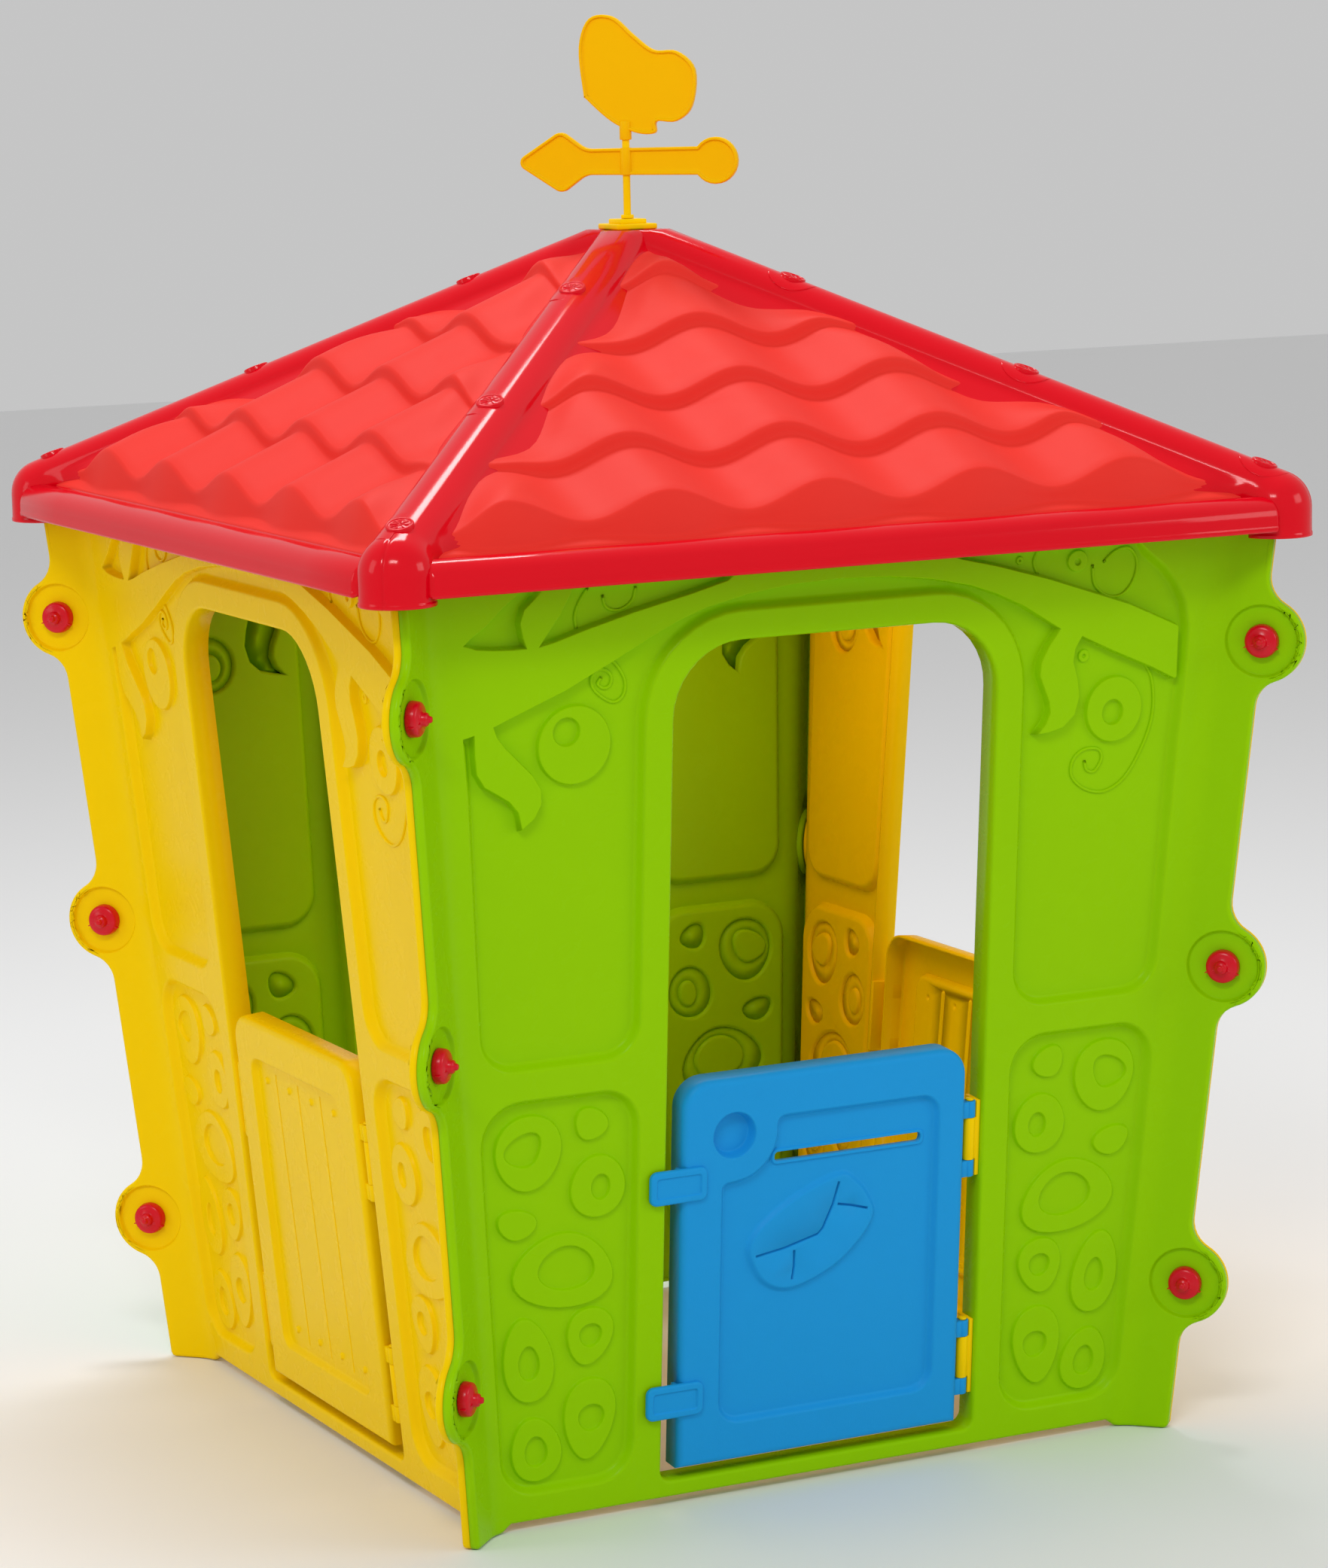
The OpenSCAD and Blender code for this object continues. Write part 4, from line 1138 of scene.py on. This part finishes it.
def roof_tab(run):
    """Half-round tab that laps over the neighbouring panel's roll."""
    sheet = Sheet()
    arc = [math.pi * i / 20 for i in range(1, 20)]
    points = [(0.0, -TAB_R), *[(TAB_R * math.sin(a), -TAB_R * math.cos(a)) for a in arc],
              (0.0, TAB_R)]
    _, top = sheet.ring(flipped(points), [(0, -0.6), (0.05, 0.4), (0.35, 0.75), (0.9, 0.85)])
    sheet.fill(top)
    for a in range(2, TAB_R, 3):
        sheet.cut((-a, 0, 0), (1, 0, 0))
    centre = plug_centre(run)

    def place(a, b, n):
        """Bend the tab round the roll; it thins out to its straight edge."""
        n *= min(1, -a / 10) if n > 0 else 1
        angle = a / ROLL_R
        return centre - HIP_DOWN * b \
            + (ROLL_R + n) * (math.cos(angle) * HIP_UP + math.sin(angle) * ACROSS)
    return sheet.place(place)


def roof_plug(run):
    """Round plug with a raised rim and an eight-rayed star."""
    sheet = Sheet()
    _, rim = sheet.ring(egg(0, 0, 14, 14, count=40), [(0, -6), (0, 1.6), (0.3, 2.2), (0.9, 2.6),
                                                     (1.5, 2.7), (2.2, 2.5), (2.7, 1.9),
                                                     (3.2, 1.7)])
    feet = []
    for i in range(8):
        a = math.pi * i / 4
        ray = [(1.6, -0.45), (9.4, -0.95), (9.9, 0), (9.4, 0.95), (1.6, 0.45)]
        ray = [(x * math.cos(a) - y * math.sin(a), x * math.sin(a) + y * math.cos(a))
               for x, y in ray]
        foot, top = sheet.ring(ray, [(0, 1.7), (0.25, 2.5)])
        sheet.fill(top)
        feet.append(foot)
    sheet.fill(rim, *feet)
    centre = plug_centre(run)
    return sheet.place(lambda a, b, n: centre + ACROSS * a - HIP_DOWN * b
                       + HIP_UP * (ROLL_R + n - PLUG_SINK))


# ---- weathervane ----------------------------------------------------------------------

COLLAR_R = 6.5    # collar of the arrow and of the butterfly, round the pole


def upright(z):
    """From a flat drawing to a plate standing on the diagonal."""
    turn = Matrix.Translation((0, 0, z)) @ Matrix.Rotation(math.radians(-45), 4, "Z") \
        @ Matrix.Rotation(math.pi / 2, 4, "X")
    return lambda x, y, n: turn @ Vector((x, y, n))


def plate(outline, rim=2.6, half=4.0, web=1.4):
    """Flat plate with a raised rim on both faces, half its thickness to either side."""
    sheet = Sheet()
    edge = [(0, 0), (0, half - 1.4), (0.4, half - 0.4), (1.4, half), (rim, half),
            (rim + 0.4, half - 0.2), (rim + 1.0, web + 0.4), (rim + 1.6, web), (rim + 2.2, web)]
    _, floor = sheet.ring(outline, edge)
    sheet.fill(floor)
    bm = face_up(sheet.bm)
    made = bmesh.ops.duplicate(bm, geom=bm.verts[:] + bm.edges[:] + bm.faces[:])["geom"]
    for v in made:
        if isinstance(v, bmesh.types.BMVert):
            v.co.z = -v.co.z
    bmesh.ops.reverse_faces(bm, faces=[g for g in made if isinstance(g, bmesh.types.BMFace)])
    bmesh.ops.remove_doubles(bm, verts=[v for v in bm.verts if abs(v.co.z) < 0.01], dist=0.01)
    return bm


def arrow_outline():
    """Arrow with a leaf-shaped head and a round tail."""
    tip, half = -127, 14
    tail = [(101 + 25 * math.cos(a), 25 * math.sin(a)) for a in
            [math.radians(-143 + 286 * i / 22) for i in range(23)]]
    body = rounded([(tip, 0, 8), (tip + 54, -34, 12), (tip + 82, -half, 24), (78, -half, 0),
                    (78, half, 0), (tip + 82, half, 24), (tip + 54, 34, 12)], 6)
    middle = next(i for i, p in enumerate(body) if p[0] > 70)
    return body[:middle] + tail + body[middle + 2:]


BUTTERFLY = [(-42, 32), (-14, 8), (14, -4), (34, -4), (36, 8), (58, 8), (76, 24), (80, 62),
             (60, 82), (34, 84), (12, 100), (-12, 120), (-38, 118), (-50, 88), (-46, 40)]


# ---- stage ----------------------------------------------------------------------------

def ground():
    """The studio's pale floor."""
    bm = bmesh.new()
    bmesh.ops.create_grid(bm, x_segments=1, y_segments=1, size=14)
    bmesh.ops.translate(bm, verts=bm.verts, vec=(0, 0, -0.0005))
    mesh = bpy.data.meshes.new("studio_floor")
    bm.to_mesh(mesh)
    bm.free()
    floor = bpy.data.objects.new("studio_floor", mesh)
    bpy.context.scene.collection.objects.link(floor)
    paint = Paint("Floor")
    paint.set(Base_Color=(0.86, 0.86, 0.86), Roughness=0.7)
    mesh.materials.append(paint.material)


def lamp(name, place, target, size, power, colour=(1, 1, 1)):
    """A soft rectangular lamp aimed at a point."""
    light = bpy.data.lights.new(name, "AREA")
    light.shape, light.size, light.size_y = "RECTANGLE", size[0], size[1]
    light.energy, light.color = power, colour
    holder = bpy.data.objects.new(name, light)
    bpy.context.scene.collection.objects.link(holder)
    holder.location = place
    aim = Vector(target) - Vector(place)
    holder.rotation_euler = aim.to_track_quat("-Z", "Y").to_euler()


def viewpoint():
    """The camera, low and to the left of the door."""
    camera = bpy.data.objects.new("camera", bpy.data.cameras.new("camera"))
    bpy.context.scene.collection.objects.link(camera)
    camera.data.lens, camera.data.sensor_width = 109.0, 36.0
    camera.data.sensor_fit = "AUTO"
    camera.data.clip_end = 60
    yaw, pitch, roll = 0.46328, -0.15867, -0.02222
    ahead = Vector((math.sin(yaw) * math.cos(pitch), math.cos(yaw) * math.cos(pitch),
                    math.sin(pitch)))
    level = Vector((math.cos(yaw), -math.sin(yaw), 0))
    up = level.cross(ahead)
    right = level * math.cos(roll) + up * math.sin(roll)
    top = up * math.cos(roll) - level * math.sin(roll)
    camera.matrix_world = Matrix.Translation((-2.2726, -4.6070, 1.5070)) \
        @ Matrix((right, top, -ahead)).transposed().to_4x4()
    bpy.context.scene.camera = camera


# ---- operators -----------------------------------------------------------------------

class PlayhouseOperator:
    bl_options = {"REGISTER", "UNDO"}


class PLAYHOUSE_OT_walls(PlayhouseOperator, bpy.types.Operator):
    """Build the four moulded walls"""
    bl_idname = "playhouse.walls"
    bl_label = "Walls"

    def execute(self, context):
        skin = mm(context.scene.playhouse_sizes.skin)
        for k, side in enumerate(SIDES):
            name = "green" if k % 2 == 0 else "yellow"
            finish(wall_shell(), f"wall_shell_{side}", plastics()[name], "house",
                   [f"wall_{side}"], skin=skin, turns=k)
        return {"FINISHED"}


class PLAYHOUSE_OT_door(PlayhouseOperator, bpy.types.Operator):
    """Build the swinging half door"""
    bl_idname = "playhouse.door"
    bl_label = "Door"

    def execute(self, context):
        blue = plastics()["blue"]
        finish(door_leaf(), "door_leaf", blue, "door", ["door"], skin=LEAF_SKIN)
        knuckles = bmesh.new()
        ears(knuckles)
        for v in TAB_HEIGHTS:
            merge(knuckles, latch_tab(v))
            merge(knuckles, placed(box_shape((-172, v - 16, -9), (-150, v + 16, 2.5), 1.2, 2)))
        finish(knuckles, "door_fittings", blue, "door", ["door"])
        return {"FINISHED"}


class PLAYHOUSE_OT_infills(PlayhouseOperator, bpy.types.Operator):
    """Build the three plank-faced infill panels"""
    bl_idname = "playhouse.infills"
    bl_label = "Infill Panels"

    def execute(self, context):
        for k in (1, 2, 3):
            name = "green" if k == 2 else "yellow"
            node, slot = [f"infill_{SIDES[k]}"], f"{name}_wall"
            finish(infill_leaf(), f"infill_leaf_{SIDES[k]}", plastics()[name], "house", node,
                   skin=LEAF_SKIN, turns=k)
            knuckles = bmesh.new()
            for side in (1, -1):
                ears(knuckles, side)
            finish(knuckles, f"infill_ears_{SIDES[k]}", plastics()[name], "house", node,
                   turns=k)
        return {"FINISHED"}


class PLAYHOUSE_OT_hinges(PlayhouseOperator, bpy.types.Operator):
    """Build the hinge clips and pins"""
    bl_idname = "playhouse.hinges"
    bl_label = "Hinge Clips"

    def execute(self, context):
        for k, side in enumerate(SIDES):
            clips, pins = bmesh.new(), bmesh.new()
            for hand in (1,) if k == 0 else (1, -1):
                for v in HINGE_HEIGHTS:
                    hinge(clips, pins, v, hand)
            stem = "door_hinge" if k == 0 else "infill"
            tail = "" if k == 0 else f"_{side}"
            finish(clips, f"hinge_clips_{side}", plastics()["clip"], "house",
                   [f"{stem}_clips{tail}"], turns=k)
            finish(pins, f"hinge_pins_{side}", plastics()["clip"], "house",
                   [f"{stem}_pins{tail}"], turns=k)
        return {"FINISHED"}


class PLAYHOUSE_OT_fasteners(PlayhouseOperator, bpy.types.Operator):
    """Build the corner bolts and their winged nuts"""
    bl_idname = "playhouse.fasteners"
    bl_label = "Corner Bolts"

    def execute(self, context):
        red = plastics()["fastener"]
        for corner, (k, side) in zip(CORNERS, ((0, 1), (1, -1), (2, 1), (3, 1))):
            nuts, bolts = bmesh.new(), bmesh.new()
            for z in BOLT_HEIGHTS:
                for gathered, part, face in ((nuts, knob(), side), (bolts, bolt(), -side)):
                    bmesh.ops.transform(part, verts=part.verts, matrix=corner_matrix(k, face, z))
                    merge(gathered, part)
            finish(nuts, f"winged_nuts_{corner}", red, "house", [f"knob_nuts_{corner}"])
            finish(bolts, f"bolt_heads_{corner}", red, "house", [f"corner_bolts_{corner}"])
        return {"FINISHED"}


class PLAYHOUSE_OT_roof(PlayhouseOperator, bpy.types.Operator):
    """Build the tiled roof, its rolled hips and their plugs"""
    bl_idname = "playhouse.roof"
    bl_label = "Roof"

    def execute(self, context):
        red, tile = plastics()["roof"], plastics()["tile"]
        for k, (side, corner) in enumerate(zip(SIDES, CORNERS)):
            node = [f"roof_{side}"]
            finish(tile_field(k % 2 == 1), f"tile_field_{side}", tile, "house", node,
                   turns=k)
            finish(roof_sheet(), f"roof_sheet_{side}", red, "house", node, skin=3,
                   turns=k)
            finish(hip_roll(), f"hip_roll_{corner}", red, "house", node, skin=2.5,
                   turns=k)
            tabs, plugs = bmesh.new(), bmesh.new()
            for run in PLUG_RUNS:
                merge(tabs, roof_tab(run))
                merge(plugs, roof_plug(run))
            finish(tabs, f"roof_tabs_{corner}", red, "house", node, turns=k)
            finish(plugs, f"star_plugs_{corner}", red, "house", [f"roof_plugs_{corner}"],
                   turns=k)
        seat = box_shape((-25, -25, APEX - 12), (25, 25, APEX + 0.1), 2, 3)
        finish(seat, "apex_seat", red, "house", ["roof_front"])
        return {"FINISHED"}


class PLAYHOUSE_OT_vane(PlayhouseOperator, bpy.types.Operator):
    """Build the weathervane on the roof's apex"""
    bl_idname = "playhouse.vane"
    bl_label = "Weathervane"

    def execute(self, context):
        clip, amber = plastics()["clip"], plastics()["vane"]
        base = box_shape((-24, -24, APEX + 0.2), (24, 24, APEX + 6.2), 1.6, 3)
        merge(base, box_shape((-15.5, -15.5, APEX + 5.7), (15.5, 15.5, VANE_SEAT), 1.4, 3))
        finish(base, "vane_foot", clip, "house", ["vane_base"])
        pole = rod((0, 0, VANE_SEAT - 20), (0, 0, POLE_TOP), 4, 0.6)
        merge(pole, rod((0, 0, VANE_SEAT + 0.3), (0, 0, VANE_SEAT + 4.3), 7, 0.8))
        finish(pole, "vane_rod", clip, "vane", ["vane_pole"])
        arrow = placed(plate(arrow_outline()), upright(ARROW_Z))
        merge(arrow, rod((0, 0, ARROW_Z - 14.6), (0, 0, ARROW_Z + 14.6), COLLAR_R, 0.8))
        finish(arrow, "vane_pointer", amber, "vane", ["vane_arrow"])
        wings = placed(plate(smooth_loop(BUTTERFLY), rim=2.4), upright(POLE_TOP - 3))
        merge(wings, rod((0, 0, POLE_TOP - 14), (0, 0, POLE_TOP + 6), COLLAR_R, 0.8))
        finish(wings, "vane_wings", amber, "vane", ["vane_butterfly"])
        return {"FINISHED"}


class PLAYHOUSE_OT_stage(PlayhouseOperator, bpy.types.Operator):
    """Set the floor, the lights and the camera"""
    bl_idname = "playhouse.stage"
    bl_label = "Stage"

    def execute(self, context):
        ground()
        world = bpy.data.worlds.new("studio")
        context.scene.world = world
        world.use_nodes = True
        sky = world.node_tree.nodes["Background"]
        sky.inputs["Color"].default_value = (1, 1, 1, 1)
        sky.inputs["Strength"].default_value = 0.56
        lamp("key_light", (-2.6, -3.6, 4.2), (0, 0, 0.7), (1.9, 0.7), 78)
        lamp("fill_light", (3.6, -3.4, 2.4), (0, 0, 0.6), (2.0, 1.6), 34)
        lamp("top_light", (0.3, 1.7, 4.7), (0, 0, 0.9), (2.4, 0.8), 84)
        lamp("left_light", (-4.6, 0.6, 2.4), (0, 0, 0.6), (1.4, 2.2), 20)
        lamp("inner_light", (0.05, 0.05, 0.96), (0.1, 0.1, 0), (0.5, 0.5), 2.2, (1, 0.74, 0.5))
        viewpoint()
        context.scene.view_settings.view_transform = "Standard"
        return {"FINISHED"}


OPERATORS = (PLAYHOUSE_OT_stage, PLAYHOUSE_OT_walls, PLAYHOUSE_OT_door, PLAYHOUSE_OT_infills,
             PLAYHOUSE_OT_hinges, PLAYHOUSE_OT_fasteners, PLAYHOUSE_OT_roof,
             PLAYHOUSE_OT_vane)


class PLAYHOUSE_PT_panel(bpy.types.Panel):
    """Lists the playhouse's pieces and settings"""
    bl_label = "Playhouse"
    bl_idname = "PLAYHOUSE_PT_panel"
    bl_space_type = "VIEW_3D"
    bl_region_type = "UI"
    bl_category = "Playhouse"

    def draw(self, context):
        for group in (context.scene.playhouse_sizes, context.scene.playhouse_colours):
            for key in group.__annotations__:
                self.layout.prop(group, key)
        for operator in OPERATORS:
            self.layout.operator(operator.bl_idname)


CLASSES = (PlayhouseColours, PlayhouseSizes, *OPERATORS, PLAYHOUSE_PT_panel)


def register():
    for cls in CLASSES:
        bpy.utils.register_class(cls)
    bpy.types.Scene.playhouse_colours = PointerProperty(type=PlayhouseColours)
    bpy.types.Scene.playhouse_sizes = PointerProperty(type=PlayhouseSizes)


def unregister():
    del bpy.types.Scene.playhouse_colours
    del bpy.types.Scene.playhouse_sizes
    for cls in reversed(CLASSES):
        bpy.utils.unregister_class(cls)


def main():
    register()
    for operator in OPERATORS:
        group, name = operator.bl_idname.split(".")
        getattr(getattr(bpy.ops, group), name)()


if __name__ == "__main__":
    main()
